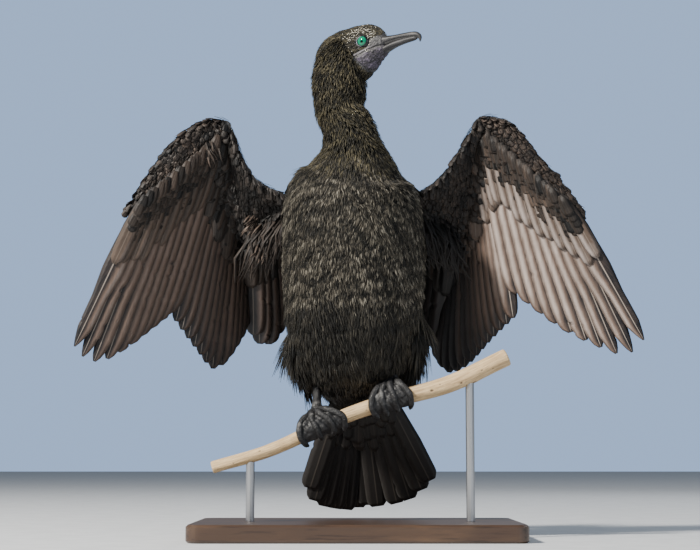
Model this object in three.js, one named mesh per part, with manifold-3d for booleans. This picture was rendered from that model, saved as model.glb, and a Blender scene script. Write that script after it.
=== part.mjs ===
// A still, life-size little black cormorant that holds its wings out to dry.
// It grips a short cut length of branch, which two rods hold over a flat base.
// Millimetres, +Z up. The bird faces -Y, its left wing reaches towards +X.
// The origin is on the underside of the base, straight below the middle of the perch.
import * as THREE from "three";
import { mergeVertices } from "three/addons/utils/BufferGeometryUtils.js";
import Module from "manifold-3d";

const wasm = await Module();
wasm.setup();

const point = (x, y, z) => new THREE.Vector3(x, y, z);
const lerp = THREE.MathUtils.lerp;

// Driving dimensions

const gap = 0.35; // left between two nodes that touch
const stand = { width: 300, depth: 190, centreY: 15, height: 16, corner: 10, bevel: 2, rodRadius: 4 };
const standRods = { left: 104, right: -98 };

// The branch: its centre line from the thin left end of the picture to the thick right end.
const perchLine = [
  { at: point(-133, 2, 65), radius: 5.6 },
  { at: point(-80, 0, 81), radius: 5.9 },
  { at: point(-40, -1, 99), radius: 6.4 },
  { at: point(-11, 0, 112), radius: 6.8 },
  { at: point(32, 0, 127), radius: 7.4 },
  { at: point(86, 1, 142), radius: 8.0 },
  { at: point(139, 3, 167), radius: 8.2 },
];

// Trunk stations from the crown of the neck down to the root of the tail.
const trunk = [
  { at: point(-8, -7, 466), wide: 4, front: 4, back: 4 },
  { at: point(-11, -7, 460), wide: 15, front: 13, back: 14 },
  { at: point(-13, -6, 450), wide: 23, front: 19, back: 21 },
  { at: point(-16, -5, 432), wide: 27, front: 22, back: 24 },
  { at: point(-16.5, -7, 414), wide: 26.5, front: 22, back: 23 },
  { at: point(-16, -10, 397), wide: 24.5, front: 21, back: 22 },
  { at: point(-9, -14, 380), wide: 26, front: 22, back: 24 },
  { at: point(-5, -16, 362), wide: 30, front: 26, back: 30 },
  { at: point(-4, -15, 345), wide: 42, front: 34, back: 39 },
  { at: point(-5, -12, 330), wide: 56, front: 42, back: 46 },
  { at: point(-5, -9, 313), wide: 64, front: 49, back: 51 },
  { at: point(-4, -4, 285), wide: 67, front: 54, back: 55 },
  { at: point(-3, 4, 248), wide: 68, front: 57, back: 55 },
  { at: point(-3, 14, 210), wide: 66, front: 57, back: 50 },
  { at: point(-2, 25, 177), wide: 59, front: 50, back: 42 },
  { at: point(0, 38, 154), wide: 46, front: 37, back: 32 },
  { at: point(3, 50, 137), wide: 34, front: 24, back: 23 },
  { at: point(6, 61, 121), wide: 24, front: 13, back: 14 },
  { at: point(8, 66, 112), wide: 16, front: 7, back: 8 },
];
const trunkSides = 18;

// Planes that part the trunk: a point on each and its normal, which points down the body.
const trunkCuts = {
  nape: { at: point(-14, -6, 437), normal: point(0.55, -0.25, -0.8) },
  throat: { at: point(-16, -9, 402), normal: point(0.1, -0.1, -1) },
  collar: { at: point(-5, -16, 358), normal: point(0, 0, -1) },
  waist: { at: point(-3, 8, 232), normal: point(0, 0.2, -1) },
  rump: { at: point(4, 53, 131), normal: point(0.1, 0.62, -0.78) },
};

// The head looks over the bird's left shoulder: its own axes run forward, up and to its left.
const headTurn = THREE.MathUtils.degToRad(-35);
const headCentre = point(11.2, -13.3, 458.5);
const forward = point(Math.cos(headTurn), Math.sin(headTurn), 0);
const upward = point(0, 0, 1);
const leftward = point(-Math.sin(headTurn), Math.cos(headTurn), 0);
// Distance ahead of the eyes, then the crown, the chin and the half width there.
const headSections = [
  [-54, -3, -9, 2],
  [-50, 5, -20, 12],
  [-40, 13, -30, 18.5],
  [-28, 17.8, -34, 19.5],
  [-14, 20.3, -35, 17.5],
  [-3, 20.8, -33, 14.8],
  [5, 19.6, -27, 12.6],
  [12, 16.2, -19, 10.4],
  [17, 11.4, -14.5, 8.4],
  [20, 7.6, -12, 6.8],
];
const eye = { ahead: 0.7, up: 0.5, out: 8.6, radius: 7, lidRing: 5.1, lidThick: 0.9, lidOut: 13.2 };
// Bill stations: distance ahead, height of the middle, half height, half width.
const upperBill = [
  [9, 1, 7.6, 7.4],
  [20, 1, 4.6, 6.2],
  [30, 1.9, 3.1, 4.5],
  [40, 2.3, 2.6, 3.6],
  [49, 2.5, 2.5, 3.1],
  [53.5, 1.6, 2.5, 2.7],
  [56.6, -1.2, 2, 1.8],
  [57, -5.2, 0.5, 0.5],
];
const lowerBill = [
  [6, -12.2, 4.2, 8],
  [14, -8.6, 3.7, 6.9],
  [20, -6.9, 3.2, 5.7],
  [30, -4.1, 2.6, 4.1],
  [40, -2.7, 2, 3.1],
  [50, -2.5, 1.8, 2.4],
  [53.5, -2.6, 0.9, 1.4],
];
// The mouth line, from under the eye to the root of the bill.
const mouthLine = { back: [-8, -13.7], front: [13, -5.6], height: 1.2, deep: 9, out: 24 };

// The wings: joints, then the tips of the flight feathers, from the wrist outwards and inwards.
const wings = {
  left: {
    side: 1,
    shoulder: point(38, 14, 312),
    elbow: point(96, 46, 288),
    wrist: point(121, 12, 386),
    handTip: point(194, 5, 318),
    lead: [point(52, -2, 316), point(82, 2, 340), point(114, 6, 392)],
    primaryTips: [point(153, 30, 229), point(201, 25, 193), point(244, 19, 172), point(258, 15, 173), point(268, 11, 184)],
    secondaryTips: [point(149, 34, 206), point(128, 44, 186), point(105, 58, 162), point(88, 68, 156), point(78, 72, 168)],
    tertialTips: [point(80, 80, 178), point(72, 82, 184), point(66, 78, 204), point(63, 70, 224)],
  },
  right: {
    side: -1,
    shoulder: point(-46, 14, 312),
    elbow: point(-105, 46, 288),
    wrist: point(-128, 12, 383),
    handTip: point(-199, 5, 319),
    lead: [point(-64, -2, 316), point(-100, 2, 340), point(-122, 6, 390)],
    primaryTips: [point(-179, 30, 211), point(-204, 26, 191), point(-235, 20, 167), point(-253, 16, 166), point(-264, 12, 178)],
    secondaryTips: [point(-172, 34, 203), point(-153, 44, 177), point(-136, 60, 159), point(-116, 68, 184), point(-106, 72, 206)],
    tertialTips: [point(-100, 80, 194), point(-90, 82, 182), point(-78, 78, 198), point(-73, 70, 222)],
  },
};

// Solids from rings of points

function solidOf(positions, faces) {
  const geometry = new THREE.BufferGeometry();
  geometry.setAttribute("position", new THREE.Float32BufferAttribute(positions, 3));
  geometry.setIndex(faces);
  const merged = mergeVertices(geometry, 1e-4);
  const index = merged.index.array;
  const kept = [];
  for (let i = 0; i < index.length; i += 3) {
    const [a, b, c] = [index[i], index[i + 1], index[i + 2]];
    if (a !== b && b !== c && a !== c) kept.push([a, b, c]);
  }
  const build = (triangles) =>
    new wasm.Manifold(
      new wasm.Mesh({
        numProp: 3,
        vertProperties: merged.getAttribute("position").array,
        triVerts: new Uint32Array(triangles.flat()),
      }),
    );
  const solid = build(kept);
  return solid.volume() > 0 ? solid : build(kept.map(([a, b, c]) => [a, c, b]));
}

// A three.js geometry as a solid, moved by a matrix.
function solidFrom(geometry, matrix = new THREE.Matrix4()) {
  const moved = geometry.clone().applyMatrix4(matrix);
  const count = moved.getAttribute("position").count;
  const faces = moved.index ? [...moved.index.array] : [...Array(count).keys()];
  return solidOf([...moved.getAttribute("position").array], faces);
}

// A closed skin over rings of equal count. turned names the sides whose diagonal runs the other way.
function loft(rings, turned = () => false) {
  const sides = rings[0].length;
  const last = rings.length - 1;
  const corner = (ring, side) => ring * sides + (side % sides);
  const faces = [];
  for (let ring = 0; ring < last; ring++) {
    for (let side = 0; side < sides; side++) {
      const [a, b] = [corner(ring, side), corner(ring, side + 1)];
      const [d, c] = [corner(ring + 1, side), corner(ring + 1, side + 1)];
      faces.push(...(turned(side) ? [a, b, d, b, c, d] : [a, b, c, a, c, d]));
    }
  }
  for (let side = 1; side < sides - 1; side++) {
    faces.push(corner(0, 0), corner(0, side + 1), corner(0, side));
    faces.push(corner(last, 0), corner(last, side), corner(last, side + 1));
  }
  return solidOf(rings.flat().flatMap((p) => p.toArray()), faces);
}

// An egg-shaped ring: across is half its width, front and back are its two half depths.
function eggRing(centre, across, front, back, sides) {
  return Array.from({ length: sides }, (_, i) => {
    const angle = (i / sides) * 2 * Math.PI;
    const depth = Math.sin(angle) > 0 ? front : back;
    return centre
      .clone()
      .addScaledVector(across, Math.cos(angle))
      .addScaledVector(depth, Math.abs(Math.sin(angle)));
  });
}

// A round rod along a curve, whose radius is radiusAt(share of its length).
function tube(points, radiusAt, sides, steps) {
  const curve = new THREE.CatmullRomCurve3(points);
  const frames = curve.computeFrenetFrames(steps, false);
  const rings = Array.from({ length: steps + 1 }, (_, i) => {
    const radius = radiusAt(i / steps);
    const across = frames.normals[i].clone().multiplyScalar(radius);
    const front = frames.binormals[i].clone().multiplyScalar(radius);
    return eggRing(curve.getPointAt(i / steps), across, front, front.clone().negate(), sides);
  });
  return loft(rings);
}

const union = (...solids) => wasm.Manifold.union(solids.flat());
const largest = (solid) => solid.simplify(0.05).decompose().sort((a, b) => b.volume() - a.volume())[0];

// The half of space beyond a plane, as a box far larger than the bird.
function halfSpace(plane, shift = 0) {
  const reach = 900;
  const normal = plane.normal.clone().normalize();
  const turn = new THREE.Quaternion().setFromUnitVectors(point(0, 0, 1), normal);
  const centre = plane.at.clone().addScaledVector(normal, reach / 2 + shift);
  const matrix = new THREE.Matrix4().compose(centre, turn, point(1, 1, 1));
  return solidFrom(new THREE.BoxGeometry(reach, reach, reach), matrix);
}

const below = (solid, plane) => solid.intersect(halfSpace(plane, gap / 2));
const above = (solid, plane) => solid.subtract(halfSpace(plane, -gap / 2));

// Trunk and head

function trunkSolid(grow = 0) {
  const spine = new THREE.CatmullRomCurve3(trunk.map((station) => station.at));
  const rings = trunk.map((station, i) => {
    const along = spine.getTangent(i / (trunk.length - 1));
    const across = point(1, 0, 0).addScaledVector(along, -along.x).normalize();
    const front = along.clone().cross(across).normalize();
    return eggRing(
      station.at,
      across.multiplyScalar(station.wide + grow),
      front.clone().multiplyScalar(station.front + grow),
      front.clone().multiplyScalar(-station.back - grow),
      trunkSides,
    );
  });
  return loft(rings);
}

// A place in the head's own axes.
function inHead(ahead, up, left) {
  return headCentre
    .clone()
    .addScaledVector(forward, ahead)
    .addScaledVector(upward, up)
    .addScaledVector(leftward, left);
}

function headShell(grow = 0) {
  const sides = 14;
  const rings = headSections.map(([ahead, crown, chin, halfWidth]) => {
    const half = (crown - chin) / 2 + grow;
    const centre = inHead(ahead, (crown + chin) / 2, 0);
    const across = leftward.clone().multiplyScalar(halfWidth + grow);
    const up = upward.clone().multiplyScalar(half);
    return eggRing(centre, across, up, up.clone().negate(), sides);
  });
  return loft(rings);
}

const trunkWhole = trunkSolid();
const trunkGrown = trunkSolid(gap);

// Perch and stand

function perchSolid(grow = 0) {
  const line = new THREE.CatmullRomCurve3(perchLine.map((station) => station.at));
  const radii = perchLine.map((station) => station.radius);
  const radiusAt = (t) => {
    const place = t * (radii.length - 1);
    const i = Math.min(Math.floor(place), radii.length - 2);
    return lerp(radii[i], radii[i + 1], place - i) + grow;
  };
  return tube(line.getPoints(14), radiusAt, 10, 14);
}

const perchWhole = perchSolid();
const perchGrown = perchSolid(gap);

function standBase() {
  const [w, d, r] = [stand.width / 2 - stand.bevel, stand.depth / 2 - stand.bevel, stand.corner];
  const outline = new THREE.Shape()
    .moveTo(-w + r, -d)
    .lineTo(w - r, -d)
    .absarc(w - r, -d + r, r, -Math.PI / 2, 0)
    .absarc(w - r, d - r, r, 0, Math.PI / 2)
    .absarc(-w + r, d - r, r, Math.PI / 2, Math.PI)
    .absarc(-w + r, -d + r, r, Math.PI, 1.5 * Math.PI);
  const slab = new THREE.ExtrudeGeometry(outline, {
    depth: stand.height - 2 * stand.bevel,
    bevelThickness: stand.bevel,
    bevelSize: stand.bevel,
    bevelSegments: 1,
    curveSegments: 4,
  });
  return solidFrom(slab, new THREE.Matrix4().makeTranslation(0, stand.centreY, stand.bevel));
}

function standRod(x) {
  const top = perchLine[6].at.z;
  const bottom = stand.height + gap;
  const rod = new THREE.CylinderGeometry(stand.rodRadius, stand.rodRadius, top - bottom, 14);
  rod.rotateX(Math.PI / 2).translate(x, 1, (top + bottom) / 2);
  const cut = solidFrom(rod).subtract(perchGrown);
  return cut.decompose().sort((a, b) => a.boundingBox().min[2] - b.boundingBox().min[2])[0];
}

// A limb or bill of egg-shaped rings along a path; sizes are its half width across hint and half depth.
function sweep(path, sizes, hint, sides, grow = 0) {
  const rings = path.map((centre, i) => {
    const before = path[Math.max(i - 1, 0)];
    const after = path[Math.min(i + 1, path.length - 1)];
    const along = after.clone().sub(before).normalize();
    const across = hint.clone().addScaledVector(along, -hint.dot(along)).normalize();
    const depth = along.clone().cross(across).multiplyScalar(sizes[i][1] + grow);
    return eggRing(centre, across.multiplyScalar(sizes[i][0] + grow), depth, depth.clone().negate(), sides);
  });
  return loft(rings);
}

const bothFacesAlike = (side) => side === 2;

// A flat plate between a line of roots and a line of tips.
function plate(roots, tips, face, thick, grow = 0) {
  const rings = roots.map((root, i) => {
    const tip = tips[i];
    const lift = face.clone().multiplyScalar(thick / 2 + grow);
    return [root.clone().add(lift), tip.clone().add(lift), tip.clone().sub(lift), root.clone().sub(lift)];
  });
  return loft(rings, bothFacesAlike);
}

// Outlines of feathers and locks: shares of the length, the width and the thickness there.
const flightOutline = [[0, 0.24, 1], [0.34, 0.64, 1], [0.8, 1, 1], [1, 0.3, 0.8]];
const covertOutline = [[0, 0.42, 1], [0.68, 1, 1], [1, 0.36, 0.8]];
const lockOutline = [[0, 1, 1], [0.55, 0.72, 0.7], [1, 0.1, 0.4]];

// One feather or lock from its root to its tip. It turns about its own length by tilt, and its
// middle stands off the straight line by bow along the face.
function vane({ root, tip, face, width, thick, outline, tilt = 0, bow = 0 }, grow = 0) {
  const along = tip.clone().sub(root);
  const length = along.length() + grow;
  along.normalize();
  const normal = face.clone().addScaledVector(along, -face.dot(along)).normalize();
  normal.applyAxisAngle(along, tilt);
  const across = normal.clone().cross(along);
  const rings = outline.map(([share, wide, deep]) => {
    const centre = root
      .clone()
      .addScaledVector(along, share * length)
      .addScaledVector(normal, 4 * share * (1 - share) * bow);
    const side = across.clone().multiplyScalar((wide * width) / 2 + grow);
    const lift = normal.clone().multiplyScalar((deep * thick) / 2 + grow);
    return [
      centre.clone().add(side).add(lift),
      centre.clone().sub(side).add(lift),
      centre.clone().sub(side).sub(lift),
      centre.clone().add(side).sub(lift),
    ];
  });
  return loft(rings, bothFacesAlike);
}

const curveThrough = (points) => new THREE.CatmullRomCurve3(points);
const spread = (count, place) => Array.from({ length: count }, (_, i) => place(i / (count - 1), i));
const between = (a, b, t) => a.clone().lerp(b, t);

// Bill and eyes

function billSolid(stations, grow = 0) {
  const path = stations.map(([ahead, up]) => inHead(ahead, up, 0));
  const sizes = stations.map(([, , halfHeight, halfWidth]) => [halfWidth, halfHeight]);
  return sweep(path, sizes, leftward, 10, grow);
}

function eyeSolid(side, grow = 0) {
  const ball = new THREE.IcosahedronGeometry(eye.radius + grow, 2);
  ball.deleteAttribute("normal");
  ball.deleteAttribute("uv");
  const centre = inHead(eye.ahead, eye.up, side * eye.out);
  return solidFrom(ball, new THREE.Matrix4().setPosition(centre));
}

function lids(side) {
  const centre = inHead(eye.ahead, eye.up, side * eye.lidOut);
  const outward = leftward.clone().multiplyScalar(side).addScaledVector(forward, 0.16).normalize();
  const turn = new THREE.Quaternion().setFromUnitVectors(point(0, 0, 1), outward);
  const ring = new THREE.TorusGeometry(eye.lidRing, eye.lidThick, 4, 12);
  ring.deleteAttribute("normal");
  ring.deleteAttribute("uv");
  return solidFrom(ring, new THREE.Matrix4().compose(centre, turn, point(1, 1, 1)));
}

// The slit of the mouth, on both sides of the face.
function mouthCut(side) {
  const { back, front, height, deep, out } = mouthLine;
  const rings = [back, front].map(([ahead, up]) => [
    inHead(ahead, up + height / 2, side * out),
    inHead(ahead, up - height / 2, side * out),
    inHead(ahead, up - height / 2, side * deep),
    inHead(ahead, up + height / 2, side * deep),
  ]);
  return loft(rings);
}

const skull = headShell();
const skullGrown = headShell(gap);
const upperBillGrown = billSolid(upperBill, gap);
const lowerBillGrown = billSolid(lowerBill, gap);

function headSolid() {
  const shell = union(above(trunkWhole, trunkCuts.nape), skull);
  const lidded = union(shell, lids(1), lids(-1));
  const cuts = [upperBillGrown, lowerBillGrown, eyeSolid(1, gap), eyeSolid(-1, gap), mouthCut(1), mouthCut(-1)];
  return cuts.reduce((solid, cut) => solid.subtract(cut), lidded);
}

// Wings

const handBone = (wing, t) => between(wing.wrist, wing.handTip, t);
const ulna = (wing, t) => between(wing.wrist, wing.elbow, t);
const humerus = (wing, t) => between(wing.shoulder, wing.elbow, t);

// How the tiers of a wing lie: the flight feathers, then the coverts below and above them.
// reach is a share of the flight feathers' length, and the lifts are heights off their sheet.
const louver = THREE.MathUtils.degToRad(6.5);
const flightTier = { count: 10, reach: 1, width: 19, thick: 0.7, rootLift: 0, tipLift: 0, outline: flightOutline };
const covertTiers = [
  { count: 6, reach: 0.43, width: 14.5, thick: 0.6, rootLift: 2.2, tipLift: 3.3, inset: 0.03 },
  { count: 4, reach: 0.26, width: 15, thick: 0.6, rootLift: 4.2, tipLift: 5.8, inset: 0.06 },
  { count: 6, reach: 0.4, width: 14.5, thick: 0.6, rootLift: -2.2, tipLift: -3.3, inset: 0.03 },
  { count: 4, reach: 0.24, width: 15, thick: 0.6, rootLift: -4.2, tipLift: -5.8, inset: 0.06 },
];
const patagiumTiers = [
  { count: 4, reach: 0.9, width: 23, thick: 0.7, rootLift: 2.6, tipLift: 8 },
  { count: 3, reach: 0.9, width: 28, thick: 0.7, rootLift: -2.6, tipLift: -8 },
];
// The sheet of a tier leans: its outermost feather lies lowest, towards the wing's face.
const sheetLean = 5;
const sheetBow = -3;

// The way the wing's face looks, in front of the bird, at share t of a sheet of feathers.
function faceAt({ rootAt, tipAt }, t) {
  const middle = (share) => between(rootAt(share), tipAt(share), 0.5);
  const [from, to] = [Math.max(t - 0.05, 0), Math.min(t + 0.05, 1)];
  const sideways = middle(to).sub(middle(from));
  const face = tipAt(t).sub(rootAt(t)).cross(sideways).normalize();
  return face.y < 0 ? face : face.negate();
}

function tier(shape, sheet, grow) {
  const inset = shape.inset ?? 0;
  return spread(shape.count, (share) => {
    const t = lerp(inset, 1 - inset, share);
    const face = faceAt(sheet, t);
    const root = sheet.rootAt(t);
    const tip = between(root, sheet.tipAt(t), shape.reach);
    const lean = sheetLean * (t - 0.5);
    const bowThere = 4 * shape.reach * (1 - shape.reach) * sheetBow;
    return vane(
      {
        root: root.addScaledVector(face, shape.rootLift + lean),
        tip: tip.addScaledVector(face, shape.tipLift + lean + bowThere),
        face,
        width: shape.width,
        thick: shape.thick,
        outline: shape.outline ?? covertOutline,
        tilt: -sheet.side * louver,
        bow: sheetBow * shape.reach ** 2,
      },
      grow,
    );
  });
}

// The sheets that the feathers of a wing lie in, each from its inner end to its outer end.
function wingSheets(wing) {
  const tips = [wing.primaryTips, wing.secondaryTips, wing.tertialTips].map(curveThrough);
  return {
    hand: {
      side: wing.side,
      rootAt: (t) => handBone(wing, lerp(0.1, 0.9, t)),
      tipAt: (t) => tips[0].getPointAt(t),
    },
    forearm: {
      side: wing.side,
      rootAt: (t) => ulna(wing, lerp(0.93, 0.12, t)),
      tipAt: (t) => tips[1].getPointAt(1 - t),
    },
    upperArm: {
      side: wing.side,
      rootAt: (t) => humerus(wing, lerp(0.4, 0.96, t)),
      tipAt: (t) => tips[2].getPointAt(1 - t),
    },
  };
}

function handPieces(wing, grow = 0) {
  const sheet = wingSheets(wing).hand;
  const path = [-0.05, 0.04, 0.3, 0.6, 0.9, 1.04].map((t) => handBone(wing, t));
  const sizes = [[5, 4], [10, 6.5], [11, 6.5], [10, 6], [8, 5.5], [3, 3]];
  const across = faceAt(sheet, 0.5).cross(path[5].clone().sub(path[0])).normalize();
  const row = (shape) => tier(shape, sheet, grow);
  return [sweep(path, sizes, across, 8, grow), ...row(flightTier), ...covertTiers.flatMap(row)];
}

// The place on the arm's bones that lies across from a share of the leading edge.
function acrossFrom(wing, t) {
  return t < 0.5 ? humerus(wing, 2 * t) : ulna(wing, 2 - 2 * t);
}

// The skin between the shoulder and the wrist, and the small coverts that lie on it.
function patagiumPieces(wing, grow) {
  const lead = curveThrough(wing.lead);
  const sheet = {
    side: wing.side,
    rootAt: (t) => lead.getPointAt(lerp(0.14, 0.94, t)),
    tipAt: (t) => acrossFrom(wing, lerp(0.14, 0.94, t)),
  };
  const front = spread(7, (t) => lead.getPointAt(t));
  const back = spread(7, (t) => acrossFrom(wing, t));
  const rows = patagiumTiers.flatMap((shape) => tier(shape, sheet, grow));
  return [plate(front, back, faceAt(sheet, 0.5), 7, grow), ...rows];
}

function forearmPieces(wing, grow = 0) {
  const sheet = wingSheets(wing).forearm;
  const path = [-0.02, 0.08, 0.35, 0.7, 0.95, 1.03].map((t) => ulna(wing, t));
  const sizes = [[5, 4], [9, 6], [9, 6.5], [10, 7], [9, 7], [5, 4]];
  const across = faceAt(sheet, 0.5).cross(path[5].clone().sub(path[0])).normalize();
  const row = (shape) => tier(shape, sheet, grow);
  return [
    sweep(path, sizes, across, 8, grow),
    ...patagiumPieces(wing, grow),
    ...row({ ...flightTier, count: 8, width: 20 }),
    ...[covertTiers[0], covertTiers[2]].flatMap((shape) => row({ ...shape, count: 5, width: 16 })),
  ];
}

function upperArmPieces(wing, grow = 0) {
  const sheet = wingSheets(wing).upperArm;
  const path = [0, 0.3, 0.6, 0.9, 1.04].map((t) => humerus(wing, t));
  const sizes = [[15, 13], [14, 12], [12, 10], [10, 8], [5, 4]];
  const row = (shape) => tier(shape, sheet, grow);
  return [
    sweep(path, sizes, point(0, 0, 1), 8, grow),
    ...row({ ...flightTier, count: 5, width: 22 }),
    ...[covertTiers[0], covertTiers[2]].flatMap((shape) => row({ ...shape, count: 4, width: 20 })),
  ];
}

// The plane that parts the hand from the forearm: down from the wrist, between their feathers.
function wristPlane(wing) {
  const seam = between(wing.primaryTips[0], wing.secondaryTips[0], 0.5).sub(wing.wrist);
  const face = faceAt(wingSheets(wing).hand, 0);
  return { at: wing.wrist, normal: seam.cross(face).multiplyScalar(-wing.side) };
}

function wingNodes(wing) {
  const plane = wristPlane(wing);
  const upperArm = union(upperArmPieces(wing)).subtract(trunkGrown);
  const upperArmGrown = union(upperArmPieces(wing, gap));
  return {
    upperArm,
    forearm: above(union(forearmPieces(wing)), plane).subtract(trunkGrown).subtract(upperArmGrown),
    hand: below(union(handPieces(wing)), plane),
  };
}

// Tail

const tail = {
  pivot: point(1, 36, 186),
  rootReach: 62,
  lengths: [158, 166, 169, 170, 171, 170, 168, 168, 168, 167, 164, 158],
  fanFrom: THREE.MathUtils.degToRad(-19.5),
  fanTo: THREE.MathUtils.degToRad(27),
  lean: THREE.MathUtils.degToRad(20),
  step: 0.8,
  louver: THREE.MathUtils.degToRad(5),
};

function tailPoint(angle, reach) {
  const down = Math.cos(angle) * reach;
  const side = Math.sin(angle) * reach;
  return tail.pivot.clone().add(point(side, Math.sin(tail.lean) * down, -Math.cos(tail.lean) * down));
}

const tailFace = point(0, -Math.cos(tail.lean), -Math.sin(tail.lean));

const tailTiers = [
  { reach: 0.42, lift: 5.4, count: 4 },
  { reach: 0.4, lift: -1.8, count: 4 },
];

// Twelve stiff feathers, the outer ones lowest, with a tier of coverts below and above.
function tailSolid() {
  const count = tail.lengths.length;
  const middle = (count - 1) / 2;
  const rectrices = spread(count, (t, i) => {
    const angle = lerp(tail.fanFrom, tail.fanTo, t);
    const rank = Math.abs(i - middle) - 0.5;
    const lift = tailFace.clone().multiplyScalar(tail.step * rank + (i < middle ? 0 : 1.5 * tail.step));
    return vane({
      root: tailPoint(angle, tail.rootReach - 12).add(lift),
      tip: tailPoint(angle, tail.lengths[i]).add(lift),
      face: tailFace,
      width: 16,
      thick: 0.7,
      outline: flightOutline,
      tilt: rank === 0 ? 0 : -Math.sign(i - middle) * tail.louver,
    });
  });
  const coverts = tailTiers.flatMap(({ reach, lift, count: many }) =>
    spread(many, (t) => {
      const angle = lerp(tail.fanFrom, tail.fanTo, t) * 0.82;
      const order = Math.abs(t - 0.5) * many * tail.step + (t < 0.5 ? 0 : 1.2 * tail.step);
      const off = (share) => tailFace.clone().multiplyScalar(lift * share + 0.8 * order);
      return vane({
        root: tailPoint(angle, tail.rootReach - 8).add(off(0.8)),
        tip: tailPoint(angle, lerp(tail.rootReach, 165, reach)).add(off(1.2)),
        face: tailFace,
        width: 20,
        thick: 0.7,
        outline: covertOutline,
      });
    }),
  );
  const fan = union(rectrices, coverts).intersect(halfSpace(trunkCuts.rump, gap / 2));
  return union(below(trunkWhole, trunkCuts.rump), fan);
}

// Legs and feet

const perchCurve = curveThrough(perchLine.map((station) => station.at));

// A place round the branch: angle 0 is on top, a quarter turn is in front.
function roundPerch(x, angle, out) {
  const t = spread(201, (s) => s).find((s) => perchCurve.getPoint(s).x >= x);
  const place = Math.min(t * (perchLine.length - 1), perchLine.length - 1.001);
  const i = Math.floor(place);
  const radius = lerp(perchLine[i].radius, perchLine[i + 1].radius, place - i);
  const along = perchCurve.getTangent(t);
  const front = point(0, -1, 0);
  const up = along.clone().cross(front).normalize().negate();
  return perchCurve
    .getPoint(t)
    .addScaledVector(up, Math.cos(angle) * (radius + out))
    .addScaledVector(front, Math.sin(angle) * (radius + out));
}

const legs = {
  left: { side: 1, joint: point(33, 5, 146), heel: point(33, 33, 176), thigh: [point(52, 13, 210), point(46, 24, 156)], spreads: [-20, -10, 1, 15] },
  right: { side: -1, joint: point(-37, 5, 117), heel: point(-38, 34, 152), thigh: [point(-54, 17, 196), point(-41, 31, 147)], spreads: [24, 13, 0, -15] },
};
const lock = { length: 32, width: 12, thick: 1.5, rows: 2, perRow: 3 };
const toe = { radius: 3.5, tipRadius: 2.2, arch: 9, underAngle: 2.85 };
const claw = { length: 9, radius: 1.9 };

// The path of one toe: forward over the branch, down its front and back below it.
function toePath(leg, offset) {
  const x = leg.joint.x;
  return [
    leg.joint.clone(),
    roundPerch(x + 0.6 * offset, 0.7, toe.arch),
    roundPerch(x + offset, 1.5, toe.arch - 1.5),
    roundPerch(x + offset * 0.96, 2.25, toe.arch - 4),
    roundPerch(x + offset * 0.9, toe.underAngle, toe.radius + 0.2),
  ];
}

function toeSolid(leg, offset, grow = 0) {
  return tube(toePath(leg, offset), (t) => lerp(toe.radius, toe.tipRadius, t) + grow, 6, 6);
}

function webSolid(leg, from, to) {
  const paths = [from, to].map((offset) => curveThrough(toePath(leg, offset)));
  const rings = spread(4, (t) => {
    const [a, b] = paths.map((path) => path.getPointAt(0.12 + 0.8 * t));
    const along = paths[0].getTangentAt(0.12 + 0.8 * t);
    const lift = b.clone().sub(a).cross(along).normalize().multiplyScalar(0.7);
    return [a.clone().add(lift), b.clone().add(lift), b.clone().sub(lift), a.clone().sub(lift)];
  });
  return loft(rings, bothFacesAlike);
}

function tarsusSolid(leg, grow = 0) {
  const path = [-0.06, 0.1, 0.5, 0.9, 1.08].map((t) => between(leg.joint, leg.heel, t));
  const sizes = [[3, 3.4], [4.6, 5.4], [3.6, 5], [4.4, 5.4], [3, 3.6]];
  return sweep(path, sizes, point(1, 0, 0), 10, grow);
}

// The feathered drumstick, and the pointed locks that hang from it.
function thighSolid(leg, grow = 0) {
  const [knee, hock] = leg.thigh;
  const path = [-0.12, 0.15, 0.45, 0.75, 1].map((t) => between(knee, hock, t));
  const sizes = [[7, 9], [14, 18], [15, 19], [12, 14], [7, 8]];
  return sweep(path, sizes, point(1, 0, 0), 10, grow);
}

function thighLocks(leg, grow = 0) {
  const [knee, hock] = leg.thigh;
  const down = hock.clone().sub(knee).normalize();
  return spread(lock.rows, (row) =>
    spread(lock.perRow, (t, i) => {
      const angle = lerp(-1.9, 1.2, t) + 0.25 * row;
      const outward = point(leg.side * Math.cos(angle), Math.sin(angle), 0);
      const root = between(knee, hock, 0.4 + 0.42 * row).addScaledVector(outward, 8 - 3 * row);
      const length = lock.length * (i % 2 ? 1 : 0.82);
      const tip = root.clone().addScaledVector(down, length).addScaledVector(outward, 9 - 2 * row);
      return vane(
        { root, tip, face: outward, width: lock.width, thick: lock.thick, outline: lockOutline, bow: 2 },
        grow,
      );
    }),
  ).flat();
}

function thighNode(leg) {
  const whole = union(thighSolid(leg), thighLocks(leg));
  return whole.subtract(trunkWithout(leg)).subtract(tarsusSolid(leg, gap));
}

// The trunk grown by the gap, less the hollow that the thigh fills.
const trunkWithout = (leg) => trunkGrown.subtract(thighSolid(leg, gap));

function footSolid(leg) {
  const toes = leg.spreads.map((offset) => toeSolid(leg, offset));
  const webs = leg.spreads.slice(1).map((offset, i) => webSolid(leg, leg.spreads[i], offset));
  const palm = sweep(
    [leg.joint.clone(), roundPerch(leg.joint.x, 0.1, 4), roundPerch(leg.joint.x, 0.1, -2)],
    [[6, 6], [8, 6], [6, 5]],
    point(1, 0, 0),
    10,
  );
  return union(toes, webs, palm).subtract(perchGrown).subtract(tarsusSolid(leg, gap)).subtract(trunkGrown);
}

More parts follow.
